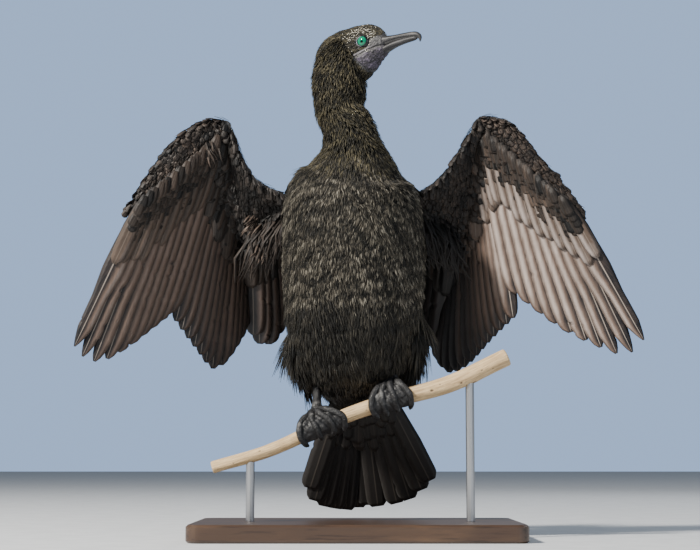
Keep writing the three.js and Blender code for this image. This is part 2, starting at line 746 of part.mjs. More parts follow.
function clawSolid(leg, offset) {
  const path = toePath(leg, offset);
  const [before, end] = [path[3], path[4]];
  const along = end.clone().sub(before).normalize();
  const inward = roundPerch(end.x, toe.underAngle, -20).sub(end).normalize();
  const start = end.clone().addScaledVector(along, gap);
  const points = [
    start,
    start.clone().addScaledVector(along, claw.length * 0.5).addScaledVector(inward, 0.6),
    start.clone().addScaledVector(along, claw.length * 0.95).addScaledVector(inward, 2.6),
  ];
  const solid = tube(points, (t) => lerp(claw.radius, 0.3, t), 6, 4);
  return solid.subtract(perchGrown).subtract(toeSolid(leg, offset, gap));
}

// The belly, hollowed where the thighs lie in it.
function bellySolid() {
  const barrel = above(below(trunkWhole, trunkCuts.waist), trunkCuts.rump);
  const thighs = Object.values(legs).map((leg) => thighSolid(leg, 2 * gap));
  return thighs.reduce((solid, thigh) => solid.subtract(thigh), barrel);
}

// Materials and nodes

const finishes = {
  plumage: { color: 0x1c1a17, roughness: 0.75 },
  flight: { color: 0x3a2f28, roughness: 0.7 },
  bill: { color: 0x34363a, roughness: 0.4 },
  eye: { color: 0x0f8f6a, roughness: 0.1 },
  foot: { color: 0x1d1e21, roughness: 0.5 },
  claw: { color: 0x2a2927, roughness: 0.35 },
  branch: { color: 0xbf9f78, roughness: 0.85 },
  base: { color: 0x3b2a1e, roughness: 0.45 },
  steel: { color: 0x8d8f92, roughness: 0.35, metalness: 0.9 },
};

const group = new THREE.Group();

function addNode(name, solid, finish) {
  const mesh = largest(solid).getMesh();
  const geometry = new THREE.BufferGeometry();
  geometry.setAttribute("position", new THREE.Float32BufferAttribute(mesh.vertProperties, 3));
  geometry.setIndex([...mesh.triVerts]);
  const node = new THREE.Mesh(geometry, new THREE.MeshStandardMaterial(finishes[finish]));
  node.name = name;
  group.add(node);
}

addNode("head", headSolid(), "plumage");
addNode("bill_upper", billSolid(upperBill), "bill");
addNode("bill_lower", billSolid(lowerBill).subtract(upperBillGrown), "bill");
addNode("neck_upper", above(below(trunkWhole, trunkCuts.nape), trunkCuts.throat).subtract(skullGrown), "plumage");
addNode("neck_lower", above(below(trunkWhole, trunkCuts.throat), trunkCuts.collar), "plumage");
addNode("torso_breast", above(below(trunkWhole, trunkCuts.collar), trunkCuts.waist), "plumage");
addNode("torso_belly", bellySolid(), "plumage");
addNode("tail", tailSolid(), "flight");
for (const [name, side] of [["left", 1], ["right", -1]]) {
  addNode(`eye_${name}`, eyeSolid(side), "eye");
  const wing = wingNodes(wings[name]);
  addNode(`wing_${name}_upper_arm`, wing.upperArm, "plumage");
  addNode(`wing_${name}_forearm`, wing.forearm, "flight");
  addNode(`wing_${name}_hand`, wing.hand, "flight");
  const leg = legs[name];
  addNode(`thigh_${name}`, thighNode(leg), "plumage");
  addNode(`tarsus_${name}`, tarsusSolid(leg).subtract(perchGrown).subtract(trunkGrown), "foot");
  addNode(`foot_${name}`, footSolid(leg), "foot");
  leg.spreads.forEach((offset, i) => addNode(`claw_${name}_${i + 1}`, clawSolid(leg, offset), "claw"));
}
addNode("perch", perchWhole, "branch");
addNode("stand_base", standBase(), "base");
addNode("stand_rod_left", standRod(standRods.left), "steel");
addNode("stand_rod_right", standRod(standRods.right), "steel");

export default group;
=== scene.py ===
import math
import bpy
import numpy as np
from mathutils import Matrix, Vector


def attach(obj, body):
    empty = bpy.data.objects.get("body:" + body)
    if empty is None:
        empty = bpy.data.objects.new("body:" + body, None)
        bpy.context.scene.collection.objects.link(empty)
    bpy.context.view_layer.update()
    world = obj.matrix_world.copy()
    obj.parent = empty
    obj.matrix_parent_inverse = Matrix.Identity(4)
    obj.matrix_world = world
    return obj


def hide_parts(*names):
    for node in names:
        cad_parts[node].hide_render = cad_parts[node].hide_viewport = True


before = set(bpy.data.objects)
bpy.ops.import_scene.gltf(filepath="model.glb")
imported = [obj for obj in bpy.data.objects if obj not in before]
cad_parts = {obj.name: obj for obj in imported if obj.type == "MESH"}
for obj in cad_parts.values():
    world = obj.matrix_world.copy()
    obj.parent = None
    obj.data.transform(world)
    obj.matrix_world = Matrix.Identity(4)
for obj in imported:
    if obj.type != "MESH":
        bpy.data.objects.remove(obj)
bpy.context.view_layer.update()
scene = bpy.context.scene
rng = np.random.default_rng(20)
mm = 0.001


# Camera, floor and lights

cameraSettings = {"place": (-0.0065, -1.5, 0.07), "target": (-0.0065, 0, 0.243), "lens": 83.5, "sensor_width": 36,
                  "clip_start": 0.05}
lightTarget = (0, 0, 0.26)
floorSettings = {"size": 16, "location": (0, 3, 0)}


def pointed(name, data, place, target):
    thing = bpy.data.objects.new(name, data)
    scene.collection.objects.link(thing)
    thing.location = place
    direction = Vector(target) - thing.location
    thing.rotation_euler = direction.to_track_quat("-Z", "Y").to_euler()
    return thing


def makeCamera():
    camera = bpy.data.cameras.new("camera")
    for key in ("lens", "sensor_width", "clip_start"):
        setattr(camera, key, cameraSettings[key])
    scene.camera = pointed("camera", camera, cameraSettings["place"], cameraSettings["target"])


lightSettings = {
    "key": {"place": (-2.0, -1.55, 2.1), "size": 0.3, "energy": 245, "color": (1, 0.95, 0.87)},
    "fill": {"place": (1.9, -1.6, 0.9), "size": 1.6, "energy": 12, "color": (0.85, 0.92, 1)},
    "rim": {"place": (0.9, 1.7, 1.5), "size": 0.8, "energy": 9, "color": (0.9, 0.95, 1)},
}
worldSettings = {"light": ((0.7, 0.82, 1, 1), 0.28), "backdrop": ((0.42, 0.6, 0.92, 1), 0.95)}  # colour, strength


def makeLights():
    for name, settings in lightSettings.items():
        light = bpy.data.lights.new(name, "AREA")
        for key in ("size", "energy", "color"):
            setattr(light, key, settings[key])
        pointed(name, light, settings["place"], lightTarget)
    world = bpy.data.worlds.new("studio")
    scene.world = world
    world.use_nodes = True
    nodes, links = world.node_tree.nodes, world.node_tree.links
    either = nodes.new("ShaderNodeMixShader")
    links.new(nodes.new("ShaderNodeLightPath").outputs["Is Camera Ray"], either.inputs[0])
    backgrounds = nodes["Background"], nodes.new("ShaderNodeBackground")
    for i, (background, (colour, strength)) in enumerate(zip(backgrounds, worldSettings.values())):
        background.inputs["Color"].default_value = colour
        background.inputs["Strength"].default_value = strength
        links.new(background.outputs[0], either.inputs[i + 1])
    links.new(either.outputs[0], nodes["World Output"].inputs["Surface"])


# Shader maths: a socket that can be used in an expression

class Value:
    def __init__(self, finish, socket):
        self.finish = finish
        self.socket = socket

    def math(self, operation, *others):
        return self.finish.node("ShaderNodeMath", {"operation": operation}, [self, *others])

    def __add__(self, other):
        return self.math("ADD", other)

    def __mul__(self, other):
        return self.math("MULTIPLY", other)

    def __sub__(self, other):
        return self.math("SUBTRACT", other)

    def __rsub__(self, other):
        return self.finish.node("ShaderNodeMath", {"operation": "SUBTRACT"}, [other, self])

    __radd__ = __add__
    __rmul__ = __mul__

    def between(self, low, high):  # 0 at low, 1 at high, smooth on the way
        settings = {"interpolation_type": "SMOOTHSTEP"}
        return self.finish.node("ShaderNodeMapRange", settings, [self, low, high, 0, 1])


class Finish:
    def __init__(self, name, **constants):
        self.material = bpy.data.materials.new(name)
        self.material.use_nodes = True
        self.tree = self.material.node_tree
        self.surface = self.tree.nodes["Principled BSDF"]
        for socket, value in constants.items():
            self.surface.inputs[socket.replace("_", " ")].default_value = value

    def node(self, kind, settings=None, inputs=(), output=0):
        made = self.tree.nodes.new(kind)
        for key, value in (settings or {}).items():
            setattr(made, key, value)
        for key, value in inputs.items() if isinstance(inputs, dict) else enumerate(inputs):
            if isinstance(value, Value):
                self.tree.links.new(value.socket, made.inputs[key])
            else:
                made.inputs[key].default_value = value
        return Value(self, made.outputs[output])

    def mix(self, factor, first, second):
        fix = lambda c: c if isinstance(c, Value) else (*c, 1)
        return self.node("ShaderNodeMix", {"data_type": "RGBA"}, {0: factor, 6: fix(first), 7: fix(second)}, 2)

    def ramp(self, factor, stops):
        made = self.node("ShaderNodeValToRGB", {}, [factor])
        elements = made.socket.node.color_ramp.elements
        while len(elements) < len(stops):
            elements.new(0.5)
        for element, (place, colour) in zip(elements, stops):
            element.position = place
            element.color = (*colour, 1)
        return made

    def place(self):
        return self.node("ShaderNodeTexCoord", output="Object")

    def attribute(self, name):
        return self.node("ShaderNodeAttribute", {"attribute_name": name}, output="Fac")

    def noise(self, scale, detail=2, roughness=0.5, vector=None):
        inputs = {"Vector": vector or self.place(), "Scale": scale, "Detail": detail, "Roughness": roughness}
        return self.node("ShaderNodeTexNoise", {}, inputs)

    def cells(self, scale, feature="F1"):
        return self.node("ShaderNodeTexVoronoi", {"feature": feature}, {"Vector": self.place(), "Scale": scale})

    def stretch(self, scale, vector=None):
        return self.node("ShaderNodeMapping", {}, {"Vector": vector or self.place(), "Scale": scale})

    def join(self, x, y, z):
        return self.node("ShaderNodeCombineXYZ", {}, [x, y, z])

    def put(self, socket, value):
        self.tree.links.new(value.socket, self.surface.inputs[socket])

    def finished(self, colour, height, strength, distance):
        self.put("Base Color", colour)
        bump = {"Strength": strength, "Distance": distance, "Height": height}
        self.put("Normal", self.node("ShaderNodeBump", {}, bump))
        return self.material


# tone: 0 is black plumage, 1 the pale brown-grey of an under wing; callers also paint light into it, as sheen
# highlights and as lit and shaded wings.
# across and along run over a vane, and across is above 0 on the outer web of a wing feather.
def featherFinish(name, colours, sheen=0.03, roughness=0.5, gloss=0.3, shaft=0.5, tips=0.0, web=0.0):
    finish = Finish(name, Roughness=roughness, Sheen_Weight=sheen, Specular_IOR_Level=gloss)
    tone, across, along, seed = (finish.attribute(key) for key in ("tone", "across", "along", "seed"))
    away = across.math("ABSOLUTE")
    barbs = finish.noise(1, 3, 0.6, finish.join(away * 5 - along * 26, seed * 40, along * 3))
    mottle = finish.noise(90, 3, 0.6)
    # web darkens the outer part of each vane and a thin inner margin: partly the web's own darker colour, partly
    # painted shadow cast by the overlapping neighbour
    shade = tone * (1 - web * across.between(-0.8, -0.1)) * (1 - web * 0.4 * (0 - across).between(0.7, 1))
    # web also paints shade at the tips; tips lightens the outer half of a feather: partly pale fringes, partly painted
    # sheen highlight
    shade = shade * (1 - 0.5 * web * along.between(0.84, 1)) + tips * along.between(0.45, 1) * tone
    shade = shade + (barbs - 0.5) * 0.3 * tone + (mottle - 0.5) * (tone * 0.3 + 0.03)
    dark, middle, pale = colours
    colour = finish.ramp(shade, [(0, dark), (0.45, middle), (1, pale)])
    shaftMask = 1 - away.between(0.025, 0.085)
    shaftColour = [0.4 * p + 0.6 * q for p, q in zip(pale, (0.5, 0.42, 0.34))]
    colour = finish.mix(shaftMask * (tone * 0.8 + 0.08) * shaft, colour, shaftColour)
    edge = away.between(0.78, 1) * along.between(0.3, 0.9)
    colour = finish.mix(edge * 0.14, colour, [0.5 * p + 0.5 * q for p, q in zip(dark, pale)])
    return finish.finished(colour, barbs, 0.4, 0.0006)


def flatFinish(name, first, second, scale, roughness, strength=0.3):
    finish = Finish(name, Roughness=roughness)
    grain = finish.noise(scale, 4, 0.6)
    return finish.finished(finish.mix(grain.between(0.35, 0.68), first, second), grain, strength, 0.0006)


# Meshes from arrays

def meshObject(name, verts, faces, material):  # verts in millimetres
    mesh = bpy.data.meshes.new(name)
    mesh.from_pydata([tuple(v) for v in verts * mm], [], faces)
    mesh.materials.append(material)
    mesh.polygons.foreach_set("use_smooth", [True] * len(mesh.polygons))
    mesh.update()
    piece = bpy.data.objects.new(name, mesh)
    scene.collection.objects.link(piece)
    return piece


def limit(v):
    return np.clip(v, 0, 1)


def bell(off, width):  # 1 in the middle, fading on both sides
    return np.exp(-(off / width) ** 2)


def steps(count):
    return np.linspace(0, 1, count)


def circle(sides):
    return np.linspace(0, 2 * np.pi, sides, endpoint=False)


def unit(v):
    v = np.asarray(v, float)
    return v / np.maximum(np.linalg.norm(v, axis=-1, keepdims=True), 1e-12)


def smoothTable(table, each=6):  # rows between the given ones, on a smooth curve through them
    rows = np.array(table, float)
    ends = np.vstack([2 * rows[0] - rows[1], rows, 2 * rows[-1] - rows[-2]])
    dense = []
    for i in range(len(rows) - 1):
        a, b, c, d = ends[i:i + 4]
        for t in np.arange(each) / each:
            dense.append(0.5 * (2 * b + (c - a) * t + (2 * a - 5 * b + 4 * c - d) * t ** 2
                                + (3 * b - a - 3 * c + d) * t ** 3))
    dense.append(rows[-1])
    return np.array(dense)


def curveThrough(points):  # place at a share of the length, for one share or many
    dense = smoothTable(points, 40)
    step = np.linalg.norm(np.diff(dense, axis=0), axis=1)
    share = np.concatenate([[0], np.cumsum(step)]) / step.sum()
    return lambda t: np.stack([np.interp(t, share, dense[:, k]) for k in range(3)], axis=-1)


def lerp(a, b, t):
    return a + (b - a) * t


def tubeRings(path, sizes, hint, sides):  # rings along a path; sizes are half widths across hint and square to it
    path = np.array(path, float)
    sizes = np.array(sizes, float)[..., None, None]
    along = unit(np.gradient(path, axis=0))
    hint = np.broadcast_to(np.array(hint, float), path.shape)
    across = unit(hint - along * np.sum(hint * along, axis=1, keepdims=True))
    depth = np.cross(along, across)
    angle = circle(sides)[:, None]
    ring = across[:, None] * (np.cos(angle) * sizes[:, 0])
    return path[:, None] + ring + depth[:, None] * (np.sin(angle) * sizes[:, 1])


def gridFaces(rows, cols, rowLoop=0, colLoop=1):  # quads over a grid of verts, open or closed each way
    return [(r * cols + c, r * cols + (c + 1) % cols, (r + 1) % rows * cols + (c + 1) % cols,
             (r + 1) % rows * cols + c) for r in range(rows - 1 + rowLoop) for c in range(cols - 1 + colLoop)]


def loftObject(name, rings, material):  # a closed skin over rings
    count, sides = rings.shape[:2]
    ends = [tuple(range(sides))[::-1], tuple((count - 1) * sides + j for j in range(sides))]
    return meshObject(name, rings.reshape(-1, 3), gridFaces(count, sides) + ends, material)


def setAttribute(piece, name, values):
    layer = piece.data.attributes.new(name, "FLOAT", "POINT")
    layer.data.foreach_set("value", np.asarray(values, np.float32).ravel())


def selectOnly(piece):
    bpy.ops.object.select_all(action="DESELECT")
    piece.select_set(True)
    bpy.context.view_layer.objects.active = piece


def makeOutward(piece):
    selectOnly(piece)
    bpy.ops.object.mode_set(mode="EDIT")
    bpy.ops.mesh.select_all(action="SELECT")
    bpy.ops.mesh.normals_make_consistent(inside=False)
    bpy.ops.object.mode_set(mode="OBJECT")


def applyModifier(piece, kind, **settings):
    modifier = piece.modifiers.new(kind, kind)
    for key, value in settings.items():
        setattr(modifier, key, value)
    bpy.ops.object.modifier_apply(modifier=kind)


def finishPiece(piece, slot, *replaced):
    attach(piece, "root")
    if replaced:
        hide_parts(*replaced)


def dressForm(name, rings, material, slot, *replaced):  # a closed form with its faces turned outward
    piece = loftObject(name, rings, material)
    makeOutward(piece)
    finishPiece(piece, slot, *replaced)
    return piece


# Feathers: many vanes of one shape, as one closed mesh

vaneRing = {  # place across, and height in shares of the thickness, round the closed section
    "flight": ([-1, -0.5, -0.09, 0, 0.09, 0.5, 1, 0.5, 0.09, 0, -0.09, -0.5],
               [0, 0.3, 0.35, 1, 0.35, 0.3, 0, -0.3, -0.35, -1, -0.35, -0.3]),
    "covert": ([-1, -0.4, 0, 0.4, 1, 0], [0, 0.5, 1, 0.5, 0, -0.7]),
    "blade": ([-1, 0, 1], [0, 1, 0]),
}
featherForms = {  # shares of the length from root to tip, shares of the width there, and the section
    "hair": ([0, 0.55, 1], [0.75, 1, 0.15], "blade"),
    "scale": ([0, 0.45, 0.85, 1], [0.45, 0.9, 0.95, 0.35], "covert"),
    "covert": ([0, 0.2, 0.5, 0.78, 0.93, 1], [0.4, 0.75, 1, 1, 0.8, 0.3], "covert"),
}


class Coat:
    def __init__(self):
        self.verts, self.faces, self.uvs = [], [], []
        self.attributes = {"tone": [], "across": [], "along": [], "seed": []}
        self.total = 0

    # root, along, face and spot have a row for each feather; the rest are numbers or one for each feather.
    # notch says how much of the inner and the outer vane is left at each station, narrow how much on each side
    # of the shaft, and patch is the size of a feather's patch on the unwrap.
    def add(self, root, along, face, length, width, thick, form, tone=0.0, bow=0.0, sweep=0.0, camber=0.0,
            tilt=0.0, spot=None, notch=None, narrow=None, patch=0.003, outer=1):
        count = len(root)
        column = lambda v: np.broadcast_to(np.asarray(v, float), (count,))[:, None]
        length, width, thick, bow, sweep = map(column, (length, width, thick, bow, sweep))
        camber, tilt, tone = map(column, (camber, tilt, tone))
        shares, outline, section = featherForms[form] if isinstance(form, str) else form
        along = unit(np.broadcast_to(along, root.shape))
        straight = unit(face - along * np.sum(face * along, axis=1, keepdims=True))
        level = np.cross(straight, along)
        normal = straight * np.cos(tilt) - level * np.sin(tilt)
        across = level * np.cos(tilt) + straight * np.sin(tilt)
        x, z = np.array(vaneRing[section], float)
        s = np.array(shares, float)
        arc = (4 * s * (1 - s))[:, None]
        wide = np.broadcast_to(np.array(outline, float), (count, len(s)))[:, :, None] * x
        if notch is not None:
            wide = wide * np.where(x < 0, notch[:, :, :1], notch[:, :, 1:])
        if narrow is not None:
            wide = wide * np.where(x < 0, *narrow)
        half = wide * width[..., None] / 2
        taper = np.interp(s, [0, 0.2, 1], [1, 1, 0.45])[:, None]
        rise = z * (thick[..., None] / 2) * taper - camber[..., None] * (wide ** 2)
        centre = root[:, None] + along[:, None] * (length * s)[:, :, None]
        centre = centre + normal[:, None] * (length * bow)[..., None] * arc
        centre = centre + across[:, None] * (length * sweep)[..., None] * arc
        verts = centre[:, :, None] + across[:, None, None] * half[..., None] + normal[:, None, None] * rise[..., None]
        shape = verts.shape[:3]
        stations, sides = shape[1:]
        each = stations * sides
        base = self.total + np.arange(count)[:, None] * each
        i, j = np.meshgrid(np.arange(stations - 1), np.arange(sides), indexing="ij")
        k = (j + 1) % sides
        quads = np.stack([i * sides + j, (i + 1) * sides + j, (i + 1) * sides + k, i * sides + k], -1)
        self.faces.append((base[:, None] + quads.reshape(-1, 4)).reshape(-1, 4))
        self.faces.append(base + np.arange(sides))
        self.faces.append(base + each - 1 - np.arange(sides))
        self.verts.append(verts.reshape(-1, 3))
        self.total += count * each
        seed = rng.random(count)[:, None, None]
        values = {"tone": tone[..., None], "across": outer * x, "along": s[:, None], "seed": seed}
        for key, value in values.items():
            self.attributes[key].append(np.broadcast_to(value, shape).ravel())
        spot = rng.random((count, 2)) if spot is None else spot
        wide, long = np.broadcast_to(patch, (2,))
        u = spot[:, 0, None, None] + wide * 0.5 * (x + 1) + 0 * s[:, None]
        v = spot[:, 1, None, None] + long * s[:, None] + 0 * x
        self.uvs.append(np.stack([u, v], -1).reshape(-1, 2))

    def lay(self, place, normal, depth, flow, lift, turn, *sizes, **looks):  # on a skin, rooted at a depth in it
        self.add(place - normal * rootDepth[depth], laid(flow, normal, lift, turn), normal, *sizes, **looks)

    def build(self, name, material, slot, *replaced):
        mesh = bpy.data.meshes.new(name)
        sides = np.concatenate([np.full(len(faces), faces.shape[1]) for faces in self.faces])
        loops = np.concatenate([faces.ravel() for faces in self.faces])
        mesh.vertices.add(self.total)
        mesh.loops.add(len(loops))
        mesh.polygons.add(len(sides))
        mesh.vertices.foreach_set("co", (np.concatenate(self.verts) * mm).astype(np.float32).ravel())
        mesh.loops.foreach_set("vertex_index", loops.astype(np.int32))
        mesh.polygons.foreach_set("loop_start", (np.cumsum(sides) - sides).astype(np.int32))
        mesh.polygons.foreach_set("loop_total", sides.astype(np.int32))
        mesh.polygons.foreach_set("use_smooth", np.ones(len(sides), bool))
        mesh.update(calc_edges=True)
        mesh.validate()
        vertexOf = np.zeros(len(mesh.loops), np.int32)
        mesh.loops.foreach_get("vertex_index", vertexOf)
        layer = mesh.uv_layers.new(name="OFBake")
        layer.data.foreach_set("uv", np.concatenate(self.uvs)[vertexOf].astype(np.float32).ravel())
        mesh.materials.append(material)
        piece = bpy.data.objects.new(name, mesh)
        scene.collection.objects.link(piece)
        for key, values in self.attributes.items():
            setAttribute(piece, key, np.concatenate(values))
        finishPiece(piece, slot, *replaced)
        print("coat", name, "triangles", (sides - 2).sum())


wings = {
    "left": {
        "side": 1, "bulge": [(-0.11, 0), (0, 3), (0.15, 8), (0.3, 8), (0.5, 4), (0.75, 3), (1, 0)],
        "shoulder": (38, 14, 312), "elbow": (96, 46, 288), "wrist": (121, 12, 386), "handTip": (194, 5, 318),
        "lead": [(52, -2, 316), (82, 2, 340), (114, 6, 392)],
        "primary": [(153, 30, 229), (201, 25, 193), (244, 19, 172), (258, 15, 173), (268, 11, 184)],
        "secondary": [(149, 34, 206), (128, 44, 186), (105, 58, 162), (88, 68, 156), (78, 72, 168)],
        "tertial": [(80, 80, 178), (72, 82, 184), (66, 78, 204), (63, 70, 224)],
    },
    "right": {
        "side": -1, "bulge": [(-0.11, 0), (0, 3), (0.15, 9), (0.3, 12), (0.5, 11), (0.72, 8), (0.95, 3), (1.1, 0)],
        "shoulder": (-46, 14, 312), "elbow": (-105, 46, 288), "wrist": (-128, 12, 383), "handTip": (-199, 5, 319),
        "lead": [(-64, -2, 316), (-100, 2, 340), (-122, 6, 390)],
        "primary": [(-179, 30, 211), (-204, 26, 191), (-235, 20, 167), (-253, 16, 166), (-264, 12, 178)],
        "secondary": [(-172, 34, 203), (-153, 44, 177), (-136, 60, 159), (-116, 68, 184), (-106, 72, 206)],
        "tertial": [(-100, 80, 194), (-90, 82, 182), (-78, 78, 198), (-73, 70, 222)],
    },
}
for wing in wings.values():
    for key, value in wing.items():
        wing[key] = value if key == "side" else np.array(value, float)

headTurn = math.radians(-35)
headCentre = np.array((11.2, -13.3, 458.5))
forward = np.array((math.cos(headTurn), math.sin(headTurn), 0))
leftward = np.array((-math.sin(headTurn), math.cos(headTurn), 0))
upward = np.array((0, 0, 1.0))


def inHead(ahead, up, left):
    return headCentre + forward * ahead + upward * up + leftward * left


def headPlace(points):  # ahead, up and left of the head's centre
    off = np.asarray(points) - headCentre
    return off @ forward, off @ upward, off @ leftward


trunk = [  # x, y, z, half width, half depth in front and behind
    (-8, -7, 466, 4, 4, 4), (-11, -7, 460, 15, 13, 14), (-13, -6, 450, 23, 19, 21), (-16, -5, 432, 27, 22, 24),
    (-16.5, -7, 414, 26.5, 22, 23), (-16, -10, 397, 24.5, 21, 22), (-9, -14, 380, 26, 22, 24),
    (-5, -16, 362, 30, 26, 30), (-4, -15, 345, 42, 34, 39), (-5, -12, 330, 56, 42, 46), (-5, -9, 313, 64, 49, 51),
    (-4, -4, 285, 67, 54, 55), (-3, 4, 248, 68, 57, 55), (-3, 14, 210, 66, 57, 50), (-2, 25, 177, 59, 50, 42),
    (0, 38, 154, 46, 37, 32), (3, 50, 137, 34, 24, 23), (6, 61, 121, 24, 13, 14), (8, 66, 112, 16, 7, 8),
]
headSections = [  # ahead of the eyes, crown, chin, half width
    (-54, -3, -9, 2), (-50, 5, -20, 12), (-40, 13, -30, 18.5), (-28, 17.8, -34, 19.5), (-14, 20.3, -35, 17.5),
    (-3, 20.8, -33, 14.8), (5, 19.6, -27, 12.6), (12, 16.2, -19, 10.4), (17, 11.4, -14.5, 8.4), (20, 7.6, -12, 6.8),
]
legs = {
    "left": {"side": 1, "joint": (33, 5, 146), "heel": (33, 33, 176), "thigh": [(52, 13, 210), (46, 24, 156)],
             "spreads": [-20, -10, 1, 15]},
    "right": {"side": -1, "joint": (-37, 5, 117), "heel": (-38, 34, 152), "thigh": [(-54, 17, 196), (-41, 31, 147)],
              "spreads": [24, 13, 0, -15]},
}
perchLine = [  # x, y, z, radius
    (-133, 2, 65, 5.6), (-80, 0, 81, 5.9), (-40, -1, 99, 6.4), (-11, 0, 112, 6.8), (32, 0, 127, 7.4),
    (86, 1, 142, 8.0), (139, 3, 167, 8.2),
]


ringSides = {"trunk": 72, "head": 64, "thigh": 28, "arm": 24}


def trunkRings(inset):
    table = smoothTable(trunk)
    path = table[:, :3]
    along = unit(np.gradient(path, axis=0))
    across = unit(np.array((1.0, 0, 0)) - along * along[:, :1])
    front = np.cross(along, across)
    angle = circle(ringSides["trunk"])
    wide, ahead, behind = np.maximum(table[:, 3:] - inset, 1.5).T[..., None]
    depth = np.where(np.sin(angle) > 0, ahead, behind) * np.sin(angle)
    flat = across[:, None] * (wide * np.cos(angle))[..., None]
    return path[:, None] + flat + front[:, None] * depth[..., None]


def headRings(inset, sides=ringSides["head"], each=6, first=-60, last=30):
    table = smoothTable(headSections, each)
    ahead, crown, chin, wide = table[(table[:, 0] >= first) & (table[:, 0] <= last)].T[..., None]
    angle = circle(sides)
    up = (crown + chin) / 2 + np.maximum((crown - chin) / 2 - inset, 1) * np.sin(angle)
    left = np.maximum(wide - inset, 1) * np.cos(angle)
    return inHead(*(v[..., None] for v in (ahead, up, left)))


thighSizes = [(-0.12, 7, 9), (0.15, 14, 18), (0.45, 15, 19), (0.75, 12, 14), (1, 7, 8)]  # share, half widths


def thighRings(leg, inset):
    knee, hock = np.array(leg["thigh"], float)
    table = smoothTable(thighSizes, 5)
    size = np.maximum(table[:, 1:] - inset, 2)
    return tubeRings(lerp(knee, hock, table[:, :1]), size, (1, 0, 0), ringSides["thigh"])


# Wings: the sheets that their feathers lie in

def sheetsOf(wing):
    primary, secondary, tertial = (curveThrough(wing[k]) for k in ("primary", "secondary", "tertial"))
    col = lambda t: np.asarray(t, float)[..., None]
    bone = lambda a, b, low, high: (lambda t: lerp(wing[a], wing[b], col(lerp(low, high, np.asarray(t, float)))))
    return {
        "hand": (bone("wrist", "handTip", 0.0, 1.0), primary),
        "forearm": (bone("wrist", "elbow", 0.93, 0.02), lambda t: secondary(1 - np.asarray(t, float))),
        "upperArm": (bone("shoulder", "elbow", 0.4, 0.96), lambda t: tertial(1 - np.asarray(t, float))),
    }


def faceAt(sheet, t):
    rootAt, tipAt = sheet
    low, high = np.maximum(t - 0.05, 0), np.minimum(t + 0.05, 1)
    middle = lambda s: lerp(rootAt(s), tipAt(s), 0.5)
    face = unit(np.cross(tipAt(t) - rootAt(t), middle(high) - middle(low)))
    return np.where(face[..., 1:2] < 0, face, -face)


armSizes = {  # share of the bone's length, half width and half depth
    "hand": [(-0.11, 4, 4), (-0.04, 9, 6), (0.05, 11.5, 7), (0.3, 11.5, 6.5), (0.6, 10, 6), (0.9, 8, 5), (1.2, 3.5, 3)],
    "forearm": [(-0.08, 5, 4), (0.04, 10, 6.5), (0.35, 9, 6.5), (0.7, 10, 7), (0.95, 9, 7), (1.03, 5, 4)],
    "upperArm": [(0, 15, 13), (0.3, 14, 12), (0.6, 12, 10), (0.9, 10, 8), (1.04, 5, 4)],
}
armEnds = {"hand": ("wrist", "handTip"), "forearm": ("wrist", "elbow"), "upperArm": ("shoulder", "elbow")}


def armRings(wing, part, inset):
    table = smoothTable(armSizes[part], 5)
    start, end = (wing[key] for key in armEnds[part])
    path = lerp(start, end, table[:, :1])
    face = faceAt(sheetsOf(wing)[part], np.array(0.5))
    hint = (0, 0, 1) if part == "upperArm" else np.cross(face, end - start)
    if part == "hand":  # the leading edge stands out in front of the bone
        bulge = np.interp(table[:, 0], *wing["bulge"].T)[:, None] / 2
        path = path + unit(hint) * np.sign(hint[2]) * bulge
        table[:, 1:2] += bulge
    return tubeRings(path, np.maximum(table[:, 1:] - inset, 2), hint, ringSides["arm"])


def patagiumRings(wing, inset):  # flat closed rings from the leading edge to the arm's bones
    lead = curveThrough(wing["lead"])
    t = steps(30)
    front = lead(t)
    upper = lerp(wing["shoulder"], wing["elbow"], limit(2 * t)[:, None])
    lower = lerp(wing["elbow"], wing["wrist"], limit(2 * t - 1)[:, None])
    back = np.where(t[:, None] < 0.5, upper, lower)
    face = unit(np.cross(back[15] - front[15], front[20] - front[10]))
    face = face if face[1] < 0 else -face
    share = np.concatenate([steps(12), np.linspace(1, 0, 12)])
    half = (3.5 - inset) * np.sqrt(np.clip(1 - (2 * share - 1) ** 6, 0.12, 1))
    lift = np.where(np.arange(24) < 12, 1, -1) * half
    return front[:, None] + (back - front)[:, None] * share[None, :, None] + face * lift[None, :, None]


# One skin under all the feathers

skinSettings = {"voxel": 2.3, "trunkInset": 4.2, "headInset": 1.8, "limbInset": 1.6, "thighInset": 4,
                "patagiumInset": 1, "relax": 0.5, "relaxRounds": 5}


def makeSkin(material):
    forms = [trunkRings(skinSettings["trunkInset"]), headRings(skinSettings["headInset"])]
    forms += [thighRings(leg, skinSettings["thighInset"]) for leg in legs.values()]
    for wing in wings.values():
        forms += [armRings(wing, part, skinSettings["limbInset"]) for part in armSizes]
        forms.append(patagiumRings(wing, skinSettings["patagiumInset"]))
    parts = [loftObject(f"form{i}", rings, material) for i, rings in enumerate(forms)]
    selectOnly(parts[0])
    for part in parts:
        part.select_set(True)
    bpy.ops.object.join()
    skin = bpy.context.view_layer.objects.active
    skin.name = skin.data.name = "skin"
    makeOutward(skin)
    applyModifier(skin, "REMESH", mode="VOXEL", voxel_size=skinSettings["voxel"] * mm)
    applyModifier(skin, "SMOOTH", factor=skinSettings["relax"], iterations=skinSettings["relaxRounds"])
    bpy.ops.object.shade_smooth()
    skin.data.materials.clear()
    skin.data.materials.append(material)
    flesh = ["head", "neck_upper", "neck_lower", "torso_breast", "torso_belly", "thigh_left", "thigh_right"]
    flesh += [f"wing_{name}_{part}" for name in wings for part in ("upper_arm", "forearm", "hand")]
    finishPiece(skin, "plumage", *flesh)
    print("skin faces", len(skin.data.polygons))


# Scattering over a closed skin of rings

